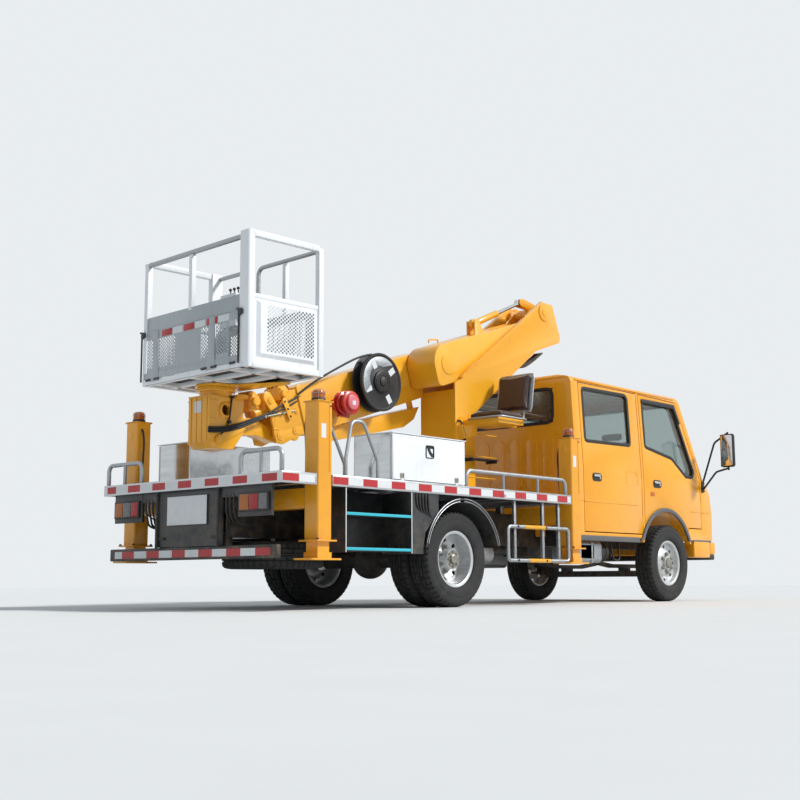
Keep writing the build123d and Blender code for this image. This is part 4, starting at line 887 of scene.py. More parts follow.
class TRUCK_OT_swing_gear(bpy.types.Operator):
    """Turning flange, gusset, bolts and collar between the bracket and the basket"""
    bl_idname = "truck.swing_gear"
    bl_label = "Basket swing gear"

    def execute(self, context):
        x, y = SWING_AXIS
        flange = turned([(0, 1674), (150, 1674), (158, 1678), (158, 1690), (150, 1696), (0, 1696)],
                        (x, y, 0), "Z", 64)
        gusset = plate([(x - 120, y - 40), (x - 60, y + 150), (x + 150, y + 150), (x + 240, y + 40),
                        (x + 300, y - 520), (x + 220, y - 560), (x + 60, y - 200)], "Z", 1682, 1695, 3)
        bolts = [bolt((u, v, 1674), "Z", 16, 7, -1) for u, v in around(x, y, 132, even_turns(8))]
        hand_over([flange, gusset, *bolts], "swing_flange", "basket_frame", "enamel_arm")
        collar = turned([(0, 1560), (128, 1560), (136, 1568), (136, 1590), (122, 1600), (122, 1640),
                         (146, 1650), (146, 1669), (0, 1669)], (x, y, 0), "Z", 64)
        hand_over(collar, "swing_collar", "basket_mount", "enamel_arm")
        return {"FINISHED"}


FRONT_AXLE_X = 3360
FRONT_WHEEL_Y = 772
TWIN_Y = (622, 832)
SIPE_STEPS = 100
SPARE_AT = (-1330, -275, 388)


def tyre_mesh(x, y):
    """A road tyre: turned sidewalls, grooves round the tread, and pressed sipes across the shoulders."""
    side = [(208, 62), (222, 66), (224, 72), (222, 82), (232, 90), (262, 96.5), (296, 97.2), (300, 95.6),
            (306, 97), (334, 94), (351, 88), (361, 80), (366, 72), (368.5, 58), (369, 46), (359, 44.5),
            (359, 38.5), (369.6, 37), (370, 13), (360, 11.5), (360, 6), (370, 4.5)]
    profile = [(r, -w) for r, w in side] + [(r, w) for r, w in reversed(side)]
    profile.append(profile[0])
    obj = turned(profile, (x, y, TYRE_R), "Y", SIPE_STEPS)
    middle = spot(x, y, TYRE_R)
    pick(obj)
    bpy.ops.object.mode_set(mode="EDIT")
    bpy.ops.mesh.select_mode(type="FACE")
    bpy.ops.mesh.select_all(action="DESELECT")
    bpy.ops.object.mode_set(mode="OBJECT")
    for face in obj.data.polygons:
        away = face.center - middle
        radius, width, turn = hypot(away.x, away.z) * 1000, abs(away.y) * 1000, atan2(away.z, away.x)
        step = int((turn + pi) / (2 * pi) * SIPE_STEPS + 0.01)
        shoulder = 350 < radius and 50 < width < 88 and step % 2 == 0
        rib = radius > 366 and 14 < width < 36 and step % 4 == (0 if away.y > 0 else 2)
        face.select = shoulder or rib
    bpy.ops.object.mode_set(mode="EDIT")
    bpy.ops.mesh.inset(thickness=mm(3), depth=-mm(7))
    bpy.ops.object.mode_set(mode="OBJECT")
    return smooth(obj, 28)


def wheel_nuts(x, y, circle, face_y, count, size=30, reach=26, z=TYRE_R):
    """Domed wheel nuts on a bolt circle, their outer side towards minus Y."""
    nuts = []
    for k in range(count):
        a = 2 * pi * (k + 0.5) / count
        place = (x + circle * cos(a), y + face_y, z + circle * sin(a))
        nuts.append(turned([(0, 0), (size * 0.66, 0), (size * 0.66, -5), (size * 0.6, -6), (0, -6)], place,
                           "Y", 20))
        nuts.append(turned([(0, -5), (size * 0.577, -5), (size * 0.577, -reach * 0.8), (size * 0.4, -reach),
                            (0, -reach)], place, "Y", 6))
    return nuts


class TRUCK_OT_wheels(bpy.types.Operator):
    """Tyres with tread, wheel nuts, hubs and grease caps"""
    bl_idname = "truck.wheels"
    bl_label = "Wheels"

    def execute(self, context):
        model = tyre_mesh(0, 0)
        for side, name in ((-1, "right"), (1, "left")):
            front = f"front_tyre_{name}"
            tyre = copy_at(model, (FRONT_AXLE_X, side * FRONT_WHEEL_Y, 0))
            hand_over(tyre, f"tread_front_{name}", front, "tyre_rubber", [front])
            rear = f"rear_tyres_{name}"
            twin = [copy_at(model, (0, side * y, 0)) for y in TWIN_Y]
            hand_over(twin, f"tread_rear_{name}", rear, "tyre_rubber", [rear])
            dress(f"front_rim_{name}", "wheel_silver", 1.6, 2)
            dress(f"rear_rims_{name}", "wheel_silver", 1.6, 2)
        spare = turn_about(copy_at(model), pi / 2, "X", (0, 0, TYRE_R), SPARE_AT)
        disc = turned([(0, -8), (60, -8), (66, 12), (140, 16), (176, 2), (196, 4), (204, -48), (216, -54),
                       (212, -40), (208, 60), (216, 66), (204, 60), (196, 20), (176, 14), (140, 28),
                       (60, 26), (0, 26)], SPARE_AT, "Z", 48)
        hanger = turned([(0, 7), (16, 7), (16, 157), (0, 157)], SPARE_AT, "Z", 16)
        bar = block((-1360, -368, 520), (-1300, 368, 545), 4)
        hand_over(spare, "spare_tyre", "spare_wheel", "tyre_rubber", ["spare_wheel"])
        hand_over([disc, hanger, bar], "spare_disc", "spare_wheel", "wheel_silver")
        bpy.data.objects.remove(model)

        y = -FRONT_WHEEL_Y
        cap = turned([(0, -95), (22, -95), (40, -90), (48, -80), (50, -69), (60, -69), (60, -60), (32, -60),
                      (0, -60)],
                     (FRONT_AXLE_X, y, TYRE_R), "Y", 40)
        front = join([cap, *wheel_nuts(FRONT_AXLE_X, y, 88, -49, 6)])
        y = -TWIN_Y[1]
        hub = turned([(0, -70), (30, -70), (38, -64), (40, -50), (70, -50), (74, -46), (72, -30), (0, -30)],
                     (0, y, TYRE_R), "Y", 40)
        stud = [(0, 0), (9, 0), (9, -10), (7, -12), (0, -12)]
        studs = [turned(stud, (u, y - 48, v), "Y", 6) for u, v in around(0, TYRE_R, 56, even_turns(8))]
        rear = join([hub, *studs, *wheel_nuts(0, y, 97, 45, 6, reach=40)])
        for piece, node in ((front, "front_rim"), (rear, "rear_rims")):
            for obj, name in ((piece, "right"), (mirrored(piece), "left")):
                hand_over(obj, f"{node}_{name}_nuts", f"{node}_{name}", "zinc_plate")
        return {"FINISHED"}


DECK_REAR, DECK_TOP, DECK_HALF = -1922, 932, 1000
TAPE_STEP, TAPE_H = 150, 52
TREAD_STEP = 52
COLUMN_HALF = (68, 69)
COLUMNS = ((-1518, -931), (-1665, 931), (1552, -931), (1552, 931))
COLUMN_TOP = 1442


def tape_row(start_at, end_at, axis, plane, z, width=TAPE_H, step=TAPE_STEP, lift=0.6):
    """Red and white reflective blocks in turn along an edge; returns both colours' pieces."""
    row, at, red = {True: [], False: []}, start_at, True
    while at < end_at - 20:
        to = min(at + step, end_at)
        near, far = sorted((plane, plane + lift))
        row[red].append(block(on_plane(axis, at, z, near), on_plane(axis, to, z + width, far), 0.25, 1))
        at, red = to, not red
    return row


class TRUCK_OT_deck_trim(bpy.types.Operator):
    """Chequered deck plates and reflective tape round the deck"""
    bl_idname = "truck.deck_trim"
    bl_label = "Deck trim"

    def execute(self, context):
        red, white = [], []
        z = DECK_TOP - 66
        rows = [tape_row(-955, 955, "X", DECK_REAR - 0.6, z),
                tape_row(-870, 870, "X", -1898.5, 374, TAPE_H)]
        for side in (-1, 1):
            clear_of = [x for x, y in COLUMNS if y * side > 0]
            for x0, x1 in ((DECK_REAR + 8, clear_of[0] - 80), (clear_of[0] + 80, clear_of[1] - 90)):
                rows.append(tape_row(x0, x1, "Y", side * DECK_HALF, z, lift=0.6 * side))
        for row in rows:
            red += row[True]
            white += row[False]
        hand_over(red, "deck_tape_red", "deck", "sheeting_red")
        hand_over(white, "deck_tape_white", "deck", "sheeting_white")

        bar = block((-14, -3, DECK_TOP), (14, 3, DECK_TOP + 1.6), 0.8, 1)
        half = TREAD_STEP / 2
        other = turn_about(copy_at(bar), -pi / 4, "Z", (0, 0, DECK_TOP), (half, half, DECK_TOP))
        tread = join([turn_about(bar, pi / 4, "Z", (0, 0, DECK_TOP)), other])
        strips = []
        for x0, x1, y0, y1 in ((-1880, -1440, -820, 820), (-1400, -860, -940, -640),
                               (-840, 1420, -560, -440), (60, 1420, -940, -640), (-560, 1420, 640, 940)):
            strip = copy_at(tread, (x0 + 20, y0 + 20, 0))
            for length, way in ((x1 - x0, Vector((1, 0, 0))), (y1 - y0, Vector((0, 1, 0)))):
                modify(strip, "ARRAY", count=int(length / TREAD_STEP), use_relative_offset=False,
                       use_constant_offset=True, constant_offset_displace=way * mm(TREAD_STEP))
            strips.append(strip)
        bpy.data.objects.remove(tread)
        hand_over(strips, "deck_tread", "deck", "brushed_aluminium")
        return {"FINISHED"}


class TRUCK_OT_lamps(bpy.types.Operator):
    """Tail lamps in three segments, headlamps, beacons in their cages, marker lamps"""
    bl_idname = "truck.lamps"
    bl_label = "Lamps"

    def execute(self, context):
        black, amber, clear_lens, red = [], [], [], []
        x = DECK_REAR
        for side in (-1, 1):
            y0, y1 = across(side, 560, 866)
            black.append(block((x + 3, y0, 672), (x + 22, y1, 802), 6))
            black.append(block((x + 20, y0 + 60, 700), (x + 40, y1 - 60, 770), 3))
            cuts = [y0 + 10, y0 + 98, y0 + 196, y1 - 10]
            fills = (clear_lens, red, amber) if side < 0 else (red, clear_lens, amber)
            for a, b, group in zip(cuts, cuts[1:], fills):
                group.append(block((x + 0.5, a + 3, 684), (x + 9, b - 3, 790), 7, 3))
                for row in (712, 737, 762):
                    group.append(block((x + 0.2, a + 12, row - 1.5), (x + 3, b - 12, row + 1.5), 1, 1))
        for x_mid, y_mid in COLUMNS:
            z = COLUMN_TOP
            black.append(turned([(0, 0), (50, 0), (50, 16), (46, 22), (0, 22)], (x_mid, y_mid, z), "Z", 40))
            amber.append(turned([(0, 20), (43, 20), (43, 60), (39, 74), (30, 80), (0, 82)],
                                (x_mid, y_mid, z), "Z", 40))
            for band in (26, 34, 42, 50, 58):
                amber.append(turned([(40, band), (44.5, band + 2), (44.5, band + 4), (40, band + 6),
                                     (40, band)], (x_mid, y_mid, z), "Z", 40))
            for u, v in around(x_mid, y_mid, 47, [pi / 4 + a for a in even_turns(4)]):
                clear_lens.append(tube([(u, v, z + 20), (u, v, z + 78), (x_mid, y_mid, z + 86)], 2.6, 14))
            clear_lens.append(turned([(45, 52), (49, 52), (49, 56), (45, 56), (45, 52)], (x_mid, y_mid, z),
                                     "Z", 40))
        for side in (-1, 1):
            y0, y1 = across(side, 560, 790)
            clear_lens.append(block((4262, y0, 700), (4285, y1, 850), 22, 4))
            black.append(block((4240, y0 - 12, 688), (4270, y1 + 12, 862), 16, 3))
            for y_lamp in (620, 725):
                black.append(turned([(0, 0), (40, 2), (46, 14), (50, 24), (44, 24), (38, 14), (0, 10)],
                                    (4255, side * y_lamp, 775), "X", 32))
            y0, y1 = across(side, 800, 838)
            amber.append(block((4240, y0, 705), (4276, y1, 850), 10, 3))
            y0, y1 = across(side, 848, 853)
            amber.append(block((3060, y0, 1010), (3140, y1, 1052), 4, 2))
            clear_lens.append(block((490, side * 985 - 30, 868), (525, side * 985 + 12, 892), 5, 2))
        hand_over(black, "lamp_housings", "lamps", "abs_black", ["lamps"])
        hand_over(amber, "lamp_amber", "lamps", "acrylic_amber")
        hand_over(clear_lens, "lamp_clear", "lamps", "acrylic_clear")
        hand_over(red, "lamp_red", "lamps", "acrylic_red")
        return {"FINISHED"}


class TRUCK_OT_tail(bpy.types.Operator):
    """Plate, posts, hoses and fasteners on the tail; caps, labels, bolts and hoses on the columns"""
    bl_idname = "truck.tail"
    bl_label = "Tail and columns"

    def execute(self, context):
        x = DECK_REAR + 12
        sign = [block((x - 6, -222, 604), (x - 2, 222, 808), 2)]
        sign.append(block((x - 8, -210, 616), (x - 5, 210, 796), 1))
        hand_over(sign, "plate_blank", "rear_panel", "sheeting_white")
        iron = []
        for y in (-344, 344):
            iron.append(block((x - 9, y - 12, 440), (x - 1, y + 12, DECK_TOP - 82), 2))
            for z in (470, 560, 650, 740, 830):
                iron.append(bolt((x - 8, y, z), "X", 12, 3, -1))
        for y in (-300, 300):
            iron.append(block((x - 1, y - 40, 500), (x + 9, y + 40, 520), 2))
        for side in (-1, 1):
            for k in range(3):
                y = side * (420 + 40 * k)
                iron.append(hose([(x + 30, y, 860), (x + 10, y + 8, 760), (x + 22, y - 12 * side, 660),
                                  (x + 60, y + 20, 600), (x + 150, y + 10, 590)], 8))
            iron.append(hose([(x + 16, side * 520, 735), (x + 10, side * 490, 700),
                              (x + 60, side * 430, 640), (x + 140, side * 380, 620)], 5))
        hand_over(iron, "tail_hoses", "rear_panel", "epdm_rubber")

        gold, black, label = [], [], []
        for x_mid, y_mid in COLUMNS:
            hx, hy = COLUMN_HALF
            side = 1 if y_mid > 0 else -1
            gold.append(block((x_mid - hx - 6, y_mid - hy - 6, 1429),
                              (x_mid + hx + 6, y_mid + hy + 6, 1442), 5, 3))
            gold.append(turned([(0, -hx - 5), (24, -hx - 5), (30, -hx - 1), (30, -hx + 2), (0, -hx + 2)],
                               (x_mid, y_mid, 1330), "X", 32))
            gold.append(block((x_mid + hx - 30, y_mid + side * hy - 4, 950),
                              (x_mid + hx - 8, y_mid + side * hy + 4, 1425), 3))
            gold.append(block((x_mid - hx - 26, y_mid - hy - 26, 470),
                              (x_mid + hx + 26, y_mid + hy + 26, 482), 4))
            for dx in (-1, 1):
                for dy in (-1, 1):
                    black.append(bolt((x_mid + dx * (hx + 14), y_mid + dy * (hy + 14), 482), "Z", 18, 10))
            black.append(bolt((x_mid + hx - 19, y_mid + side * (hy + 4), 1405), "Y", 10, 5, side))
            black.append(hose([(x_mid - 20, y_mid - side * hy, 1380),
                               (x_mid - 24, y_mid - side * (hy + 40), 1340),
                               (x_mid - 24, y_mid - side * (hy + 26), 1100),
                               (x_mid - 24, y_mid - side * (hy + 18), 940)], 8))
            a, b = sorted((y_mid + side * hy, y_mid + side * (hy + 0.8)))
            label.append(block((x_mid - 38, a, 1180), (x_mid + 8, b, 1280), 0.4, 1))
        hand_over(gold, "column_caps", "outrigger_columns", "enamel_gold")
        hand_over(black, "column_bolts", "outrigger_columns", "epdm_rubber")
        hand_over(label, "column_labels", "outrigger_columns", "sheeting_white")
        return {"FINISHED"}


CAB_REAR, CAB_SIDE, BELT_Z, SIDE_LEAN = 1785, 850, 1200, 0.0536
MIRROR_Y = 1150
ARCH = (3330, 400, 470)
WINDOWS = {
    "rear_door": [(1955, 1455), (1955, 1955), (2700, 1965), (2740, 1930), (2740, 1470)],
    "front_door": [(3000, 1480), (3000, 1940), (3610, 1945), (3930, 1300), (3900, 1232), (3760, 1232),
                   (3500, 1400)],
}
SCREEN_FOOT, SCREEN_HEAD = (4112, 1210), (3705, 2070)
WINDSCREEN = [(-720, 1275), (720, 1275), (680, 1985), (-680, 1985)]
BACK_WINDOW = [(-610, 1630), (610, 1630), (610, 1950), (-610, 1950)]


def rounded(outline, bend):
    """An outline with its corners turned into arcs."""
    return [(p.x, p.z) for p in arc_points([(u, 0, v) for u, v in outline], bend, True)]


def grown(outline, amount):
    """An outline moved outward by an amount, corner by corner."""
    n = len(outline)
    area = sum(a[0] * b[1] - b[0] * a[1] for a, b in zip(outline, [*outline[1:], outline[0]]))
    way = 1 if area > 0 else -1
    result = []
    for i in range(n):
        last, here, following = Vector(outline[i - 1]), Vector(outline[i]), Vector(outline[(i + 1) % n])
        into, out = (here - last).normalized(), (following - here).normalized()
        normal = Vector((into.y + out.y, -into.x - out.x)).normalized() * way
        share = max(0.4, normal.dot(Vector((into.y, -into.x)) * way))
        result.append(tuple(here + normal * amount / share))
    return result


def ring_plate(outline, outer, inner, bend, axis, a, b, bevel=1.5):
    """A flat ring that follows an outline, such as a window's rubber."""
    loop = rounded(outline, bend)
    rims = [grown(loop, outer), grown(loop, inner)]
    n = len(loop)
    points = [spot(*on_plane(axis, u, v, a)) for rim_points in rims for u, v in rim_points]
    obj = from_points(points, [(i, (i + 1) % n, n + (i + 1) % n, n + i) for i in range(n)])
    return thicken(obj, axis, a, b, bevel)


def lean_side(obj, side):
    """Leans a piece drawn on the cab's upright side in to the side's own slope above the belt."""
    for vertex in obj.data.vertices:
        z = vertex.co.z * 1000
        if z > BELT_Z:
            vertex.co.y -= side * mm((z - BELT_Z) * SIDE_LEAN)
    return obj


def lean_front(obj):
    """Lays a piece drawn on an upright plane over the windscreen's foot back on the windscreen's slope."""
    (foot_x, foot_z), (head_x, head_z) = SCREEN_FOOT, SCREEN_HEAD
    for vertex in obj.data.vertices:
        vertex.co.x -= mm((vertex.co.z * 1000 - foot_z) * (foot_x - head_x) / (head_z - foot_z))
    return obj


def on_cab(side, near, far):
    """The y range of a piece between two distances off the cab's side, in rising order."""
    return across(side, CAB_SIDE + near, CAB_SIDE + far)


class TRUCK_OT_cab_glazing(bpy.types.Operator):
    """Window rubbers, rain visors and wipers"""
    bl_idname = "truck.cab_glazing"
    bl_label = "Cab glazing"

    def execute(self, context):
        for side, name in ((-1, "right"), (1, "left")):
            for row, outline in WINDOWS.items():
                node = f"{row}_{name}"
                seal = ring_plate(outline, 10, -22, 42, "Y", *on_cab(side, -14, 2.5), 2.5)
                hand_over(lean_side(seal, side), f"seal_{node}", node, "epdm_rubber")
            visor = plate(rounded([(2990, 1918), (2990, 1958), (3622, 1962), (3722, 1770), (3690, 1770),
                                   (3600, 1918)],
                                  14), "Y", *on_cab(side, 6, 12), 2)
            hand_over(lean_side(visor, side), f"visor_{name}", f"front_door_{name}", "abs_black")
        front = lean_front(ring_plate(WINDSCREEN, 16, -26, 70, "X", 4096, 4116, 3))
        back = ring_plate(BACK_WINDOW, 12, -20, 70, "X", CAB_REAR - 3, CAB_REAR + 14, 3)
        hand_over([front, back], "seal_screens", "cab_shell", "epdm_rubber")
        wipers = []
        for y in (-480, 130):
            pivot = (4124, y, 1235)
            wipers.append(turned([(0, -4), (15, -4), (17, 2), (14, 12), (0, 14)], pivot, "X", 24))
            wipers.append(tube([(4128, y, 1235), (4090, y + 150, 1330), (4000, y + 330, 1500)], 4.5, 20))
            blade = block((4118, y + 60, 1262), (4124, y + 470, 1274), 2)
            wipers.append(lean_front(turn_about(blade, radians(18), "X", (4120, y + 265, 1268))))
        hand_over(wipers, "wipers", "cab_shell", "abs_black")
        return {"FINISHED"}


class TRUCK_OT_cab_trim(bpy.types.Operator):
    """Pressed ribs of the rear wall, swage lines, handles, arch flares, gutters and the sill strips"""
    bl_idname = "truck.cab_trim"
    bl_label = "Cab trim"

    def execute(self, context):
        ribs = []
        for k in range(9):
            y = -740 + 185 * k
            outline = rounded([(y - 62, 1010), (y + 62, 1010), (y + 62, 1505), (y - 62, 1505)], 58)
            ribs.append(plate(outline, "X", CAB_REAR - 7, CAB_REAR + 2, 6, 3))
        ribs.append(block((CAB_REAR - 4, -760, 2036), (CAB_REAR + 4, 760, 2050), 3))
        for side in (-1, 1):
            for x0, x1, z in ((1790, 1886, 929), (4062, 4225, 896)):
                y0, y1 = on_cab(side, -3, 5)
                ribs.append(block((x0, y0, z - 16), (x1, y1, z), 5, 3))
            y0, y1 = on_cab(side, -4, 6)
            ribs.append(lean_side(block((1850, y0, 2012), (3640, y1, 2022), 3), side))
        hand_over(ribs, "cab_ribs", "cab_shell", "enamel_gold")

        for side, name in ((-1, "right"), (1, "left")):
            for row, handle, swage in (("rear_door", (2120, 1137), (1905, 2815, 921)),
                                       ("front_door", (3190, 1133), (3845, 4040, 898))):
                node = f"{row}_{name}"
                y0, y1 = on_cab(side, -3, 5)
                pieces = [block((swage[0], y0, swage[2] - 16), (swage[1], y1, swage[2]), 5, 3)]
                if row == "rear_door" and side < 0:
                    pieces.append(ring_plate([(2623, 1094), (2623, 1224), (2790, 1224), (2831, 1180),
                                              (2831, 1094)],
                                             0, -4, 20, "Y", *on_cab(side, -2, 1.5), 0.6))
                hand_over(pieces, f"swage_{node}", node, "enamel_gold")
                hx, hz = handle
                cup = ring_plate([(hx - 78, hz - 38), (hx - 78, hz + 38), (hx + 78, hz + 38),
                                  (hx + 78, hz - 38)],
                                 0, -9, 34, "Y", *on_cab(side, -2, 4), 2)
                well = plate(rounded([(hx - 74, hz - 34), (hx - 74, hz + 34), (hx + 74, hz + 34),
                                      (hx + 74, hz - 34)],
                                     32), "Y", *on_cab(side, -1, 1), 0)
                hand_over([cup, well], f"cup_{node}", node, "abs_black")
                y_grip = side * (CAB_SIDE + 13)
                y0, y1 = on_cab(side, 0, 13)
                grip = [block((hx - 60, y_grip - 5, hz + 2), (hx + 40, y_grip + 5, hz + 26), 6, 3),
                        block((hx - 60, y0, hz + 4), (hx - 44, y1, hz + 24), 4),
                        block((hx + 26, y0, hz + 4), (hx + 40, y1, hz + 24), 4),
                        turned([(0, -1), (11, -1), (12, 4), (0, 5)],
                               (hx + 56, side * (CAB_SIDE + 1), hz - 6), "Y", 24)]
                hand_over(grip, f"handle_{node}", node, "hard_chrome")
            ax, az, ar = ARCH
            turns = [radians(24 + 132 * k / 22) for k in range(23)]
            arc = [(u, min(v, 906)) for u, v in around(ax, az, ar + 34, turns)]
            arc = [(ax + ar + 30, 575), *arc, (ax - ar - 30, 575), (ax - ar + 8, 575)]
            arc += around(ax, az, ar - 4, reversed(turns)) + [(ax + ar - 8, 575)]
            flare = plate(arc, "Y", *on_cab(side, -6, 18), 5, 3)
            y0, y1 = on_cab(side, -8, 6)
            sills = [block((1800, y0, 556), (2830, y1, 606), 6, 3),
                     block((3860, y0, 566), (4230, y1, 606), 6, 3)]
            hand_over([flare, *sills], f"flare_{name}", "cab_shell", "abs_grey")
        return {"FINISHED"}


class TRUCK_OT_cab_front(bpy.types.Operator):
    """Grille and slats, bumper with its lip and plate, mirrors on their arms, steering wheel"""
    bl_idname = "truck.cab_front"
    bl_label = "Cab front"

    def execute(self, context):
        black = [ring_plate([(-540, 700), (540, 700), (540, 850), (-540, 850)], 10, -14, 30, "X", 4262,
                            4284, 4)]
        for k in range(5):
            z = 722 + 26 * k
            black.append(block((4258, -528, z), (4278, 528, z + 10), 3))
        for y in (-270, 0, 270):
            black.append(block((4252, y - 8, 700), (4272, y + 8, 850), 3))
        black.append(block((4238, -560, 690), (4262, 560, 862), 4))
        black.append(block((4192, -850, 410), (4306, 850, 466), 16, 4))
        black.append(block((4300, -300, 474), (4311, 300, 540), 4))
        for y in (-130, 130):
            black.append(block((4290, y - 30, 470), (4311, y + 30, 560), 4))
        hand_over(black, "grille", "front_bumper", "abs_black")
        bumper = [block((4182, -860, 462), (4312, 860, 592), 22, 4)]
        for side in (-1, 1):
            y0, y1 = across(side, 860, 770)
            bumper.append(block((3862, y0, 430), (4190, y1, 592), 12, 3))
        hand_over(bumper, "bumper_shell", "front_bumper", "enamel_gold", ["front_bumper"])
        blank = block((4308, -230, 480), (4311.8, 230, 584), 1)
        hand_over(blank, "front_plate_blank", "front_bumper", "sheeting_white")

        heads, glass, arms = [], [], []
        for side in (-1, 1):
            y = side * MIRROR_Y
            heads.append(block((4078, y - 74, 1340), (4128, y + 74, 1680), 24, 5))
            heads.append(block((4074, y - 70, 1346), (4082, y + 70, 1674), 3))
            glass.append(plate(rounded([(y - 62, 1354), (y + 62, 1354), (y + 62, 1666), (y - 62, 1666)],
                                       18), "X", 4071, 4075, 1))
            foot = side * (CAB_SIDE + 6)
            arms.append(tube([(4106, y, 1700), (4106, y, 1310)], 9))
            arms.append(tube([(4106, y, 1690), (4104, side * 1000, 1600), (4096, foot, 1190)], 10, 60))
            arms.append(tube([(4106, y, 1330), (4104, side * 1010, 1300), (4096, foot, 1120)], 10, 60))
            y0, y1 = on_cab(side, 0, 13)
            arms.append(block((4068, y0, 1096), (4118, y1, 1206), 5, 3))
            for z in (1112, 1190):
                arms.append(bolt((4110, side * (CAB_SIDE + 13), z), "Y", 11, 5, side))
        hand_over(heads + arms, "mirror_shells", "mirrors", "abs_black", ["mirrors"])
        hand_over(glass, "mirror_glass", "mirrors", "hard_chrome")

        wheel = turned([(200, -12), (208, -8), (212, 0), (208, 10), (200, 12), (192, 10), (188, 0),
                        (192, -8), (200, -12)], (0, 0, 0), "Z", 56)
        turns = (0.3, pi - 0.3, -pi / 2)
        ends = zip(around(0, 0, 196, turns), around(0, 0, 60, turns))
        spokes = [tube([(*rim, 0), (*knee, -40), (0, 0, -46)], 11, 20) for rim, knee in ends]
        hub = turned([(0, -70), (46, -66), (58, -40), (50, -26), (0, -22)], (0, 0, 0), "Z", 40)
        column = turned([(0, -520), (34, -520), (34, -60), (0, -60)], (0, 0, 0), "Z", 24)
        steering = turn_about(join([wheel, *spokes, hub, column]), radians(-52), "Y", (0, 0, 0),
                              (3650, 500, 1240))
        hand_over(steering, "steering_wheel", "dashboard", "abs_black")
        return {"FINISHED"}


BOOM_PIVOT, LUFF_PIN, LEVEL_PIN = (2265, 2797), (960, 1600), (-862, 1345)
DRUM = (139, 1876)
SIREN = (-280, 1650)


def strap(points, width, axis, a, b, bevel=3):
    """A flat lever that follows a line, with round ends."""
    line = [Vector(p) for p in points]
    left, right = [], []
    for i, p in enumerate(line):
        way = ((line[i + 1] if i + 1 < len(line) else p) - (line[i - 1] if i else p)).normalized()
        normal = Vector((-way.y, way.x)) * width / 2
        left.append(tuple(p + normal))
        right.append(tuple(p - normal))
    for end, start_at, loop in ((line[-1], left[-1], left), (line[0], right[0], right)):
        edge = Vector(start_at) - end
        turns = [-pi * k / 6 for k in range(1, 6)]
        bow = [tuple(end + Matrix.Rotation(t, 2) @ edge) for t in turns]
        if loop is left:
            left += bow
        else:
            right = list(reversed(bow)) + right
    return plate(left + list(reversed(right)), axis, a, b, bevel)


def pin_head(x, z, y, radius, side, thickness=10):
    """A pin's round head with its centre boss and the collar round it."""
    top, collar = side * thickness, side * 4
    profiles = (
        (32, [(0, 0), (radius, 0), (radius, top * 0.7), (radius * 0.9, top), (0, top)]),
        (20, [(0, top), (radius * 0.35, top), (radius * 0.35, top + side * 3), (0, top + side * 3)]),
        (32, [(radius * 1.05, 0), (radius * 1.3, 0), (radius * 1.3, collar), (radius * 1.05, collar),
              (radius * 1.05, 0)]),
    )
    return [turned(profile, (x, y, z), "Y", steps) for steps, profile in profiles]


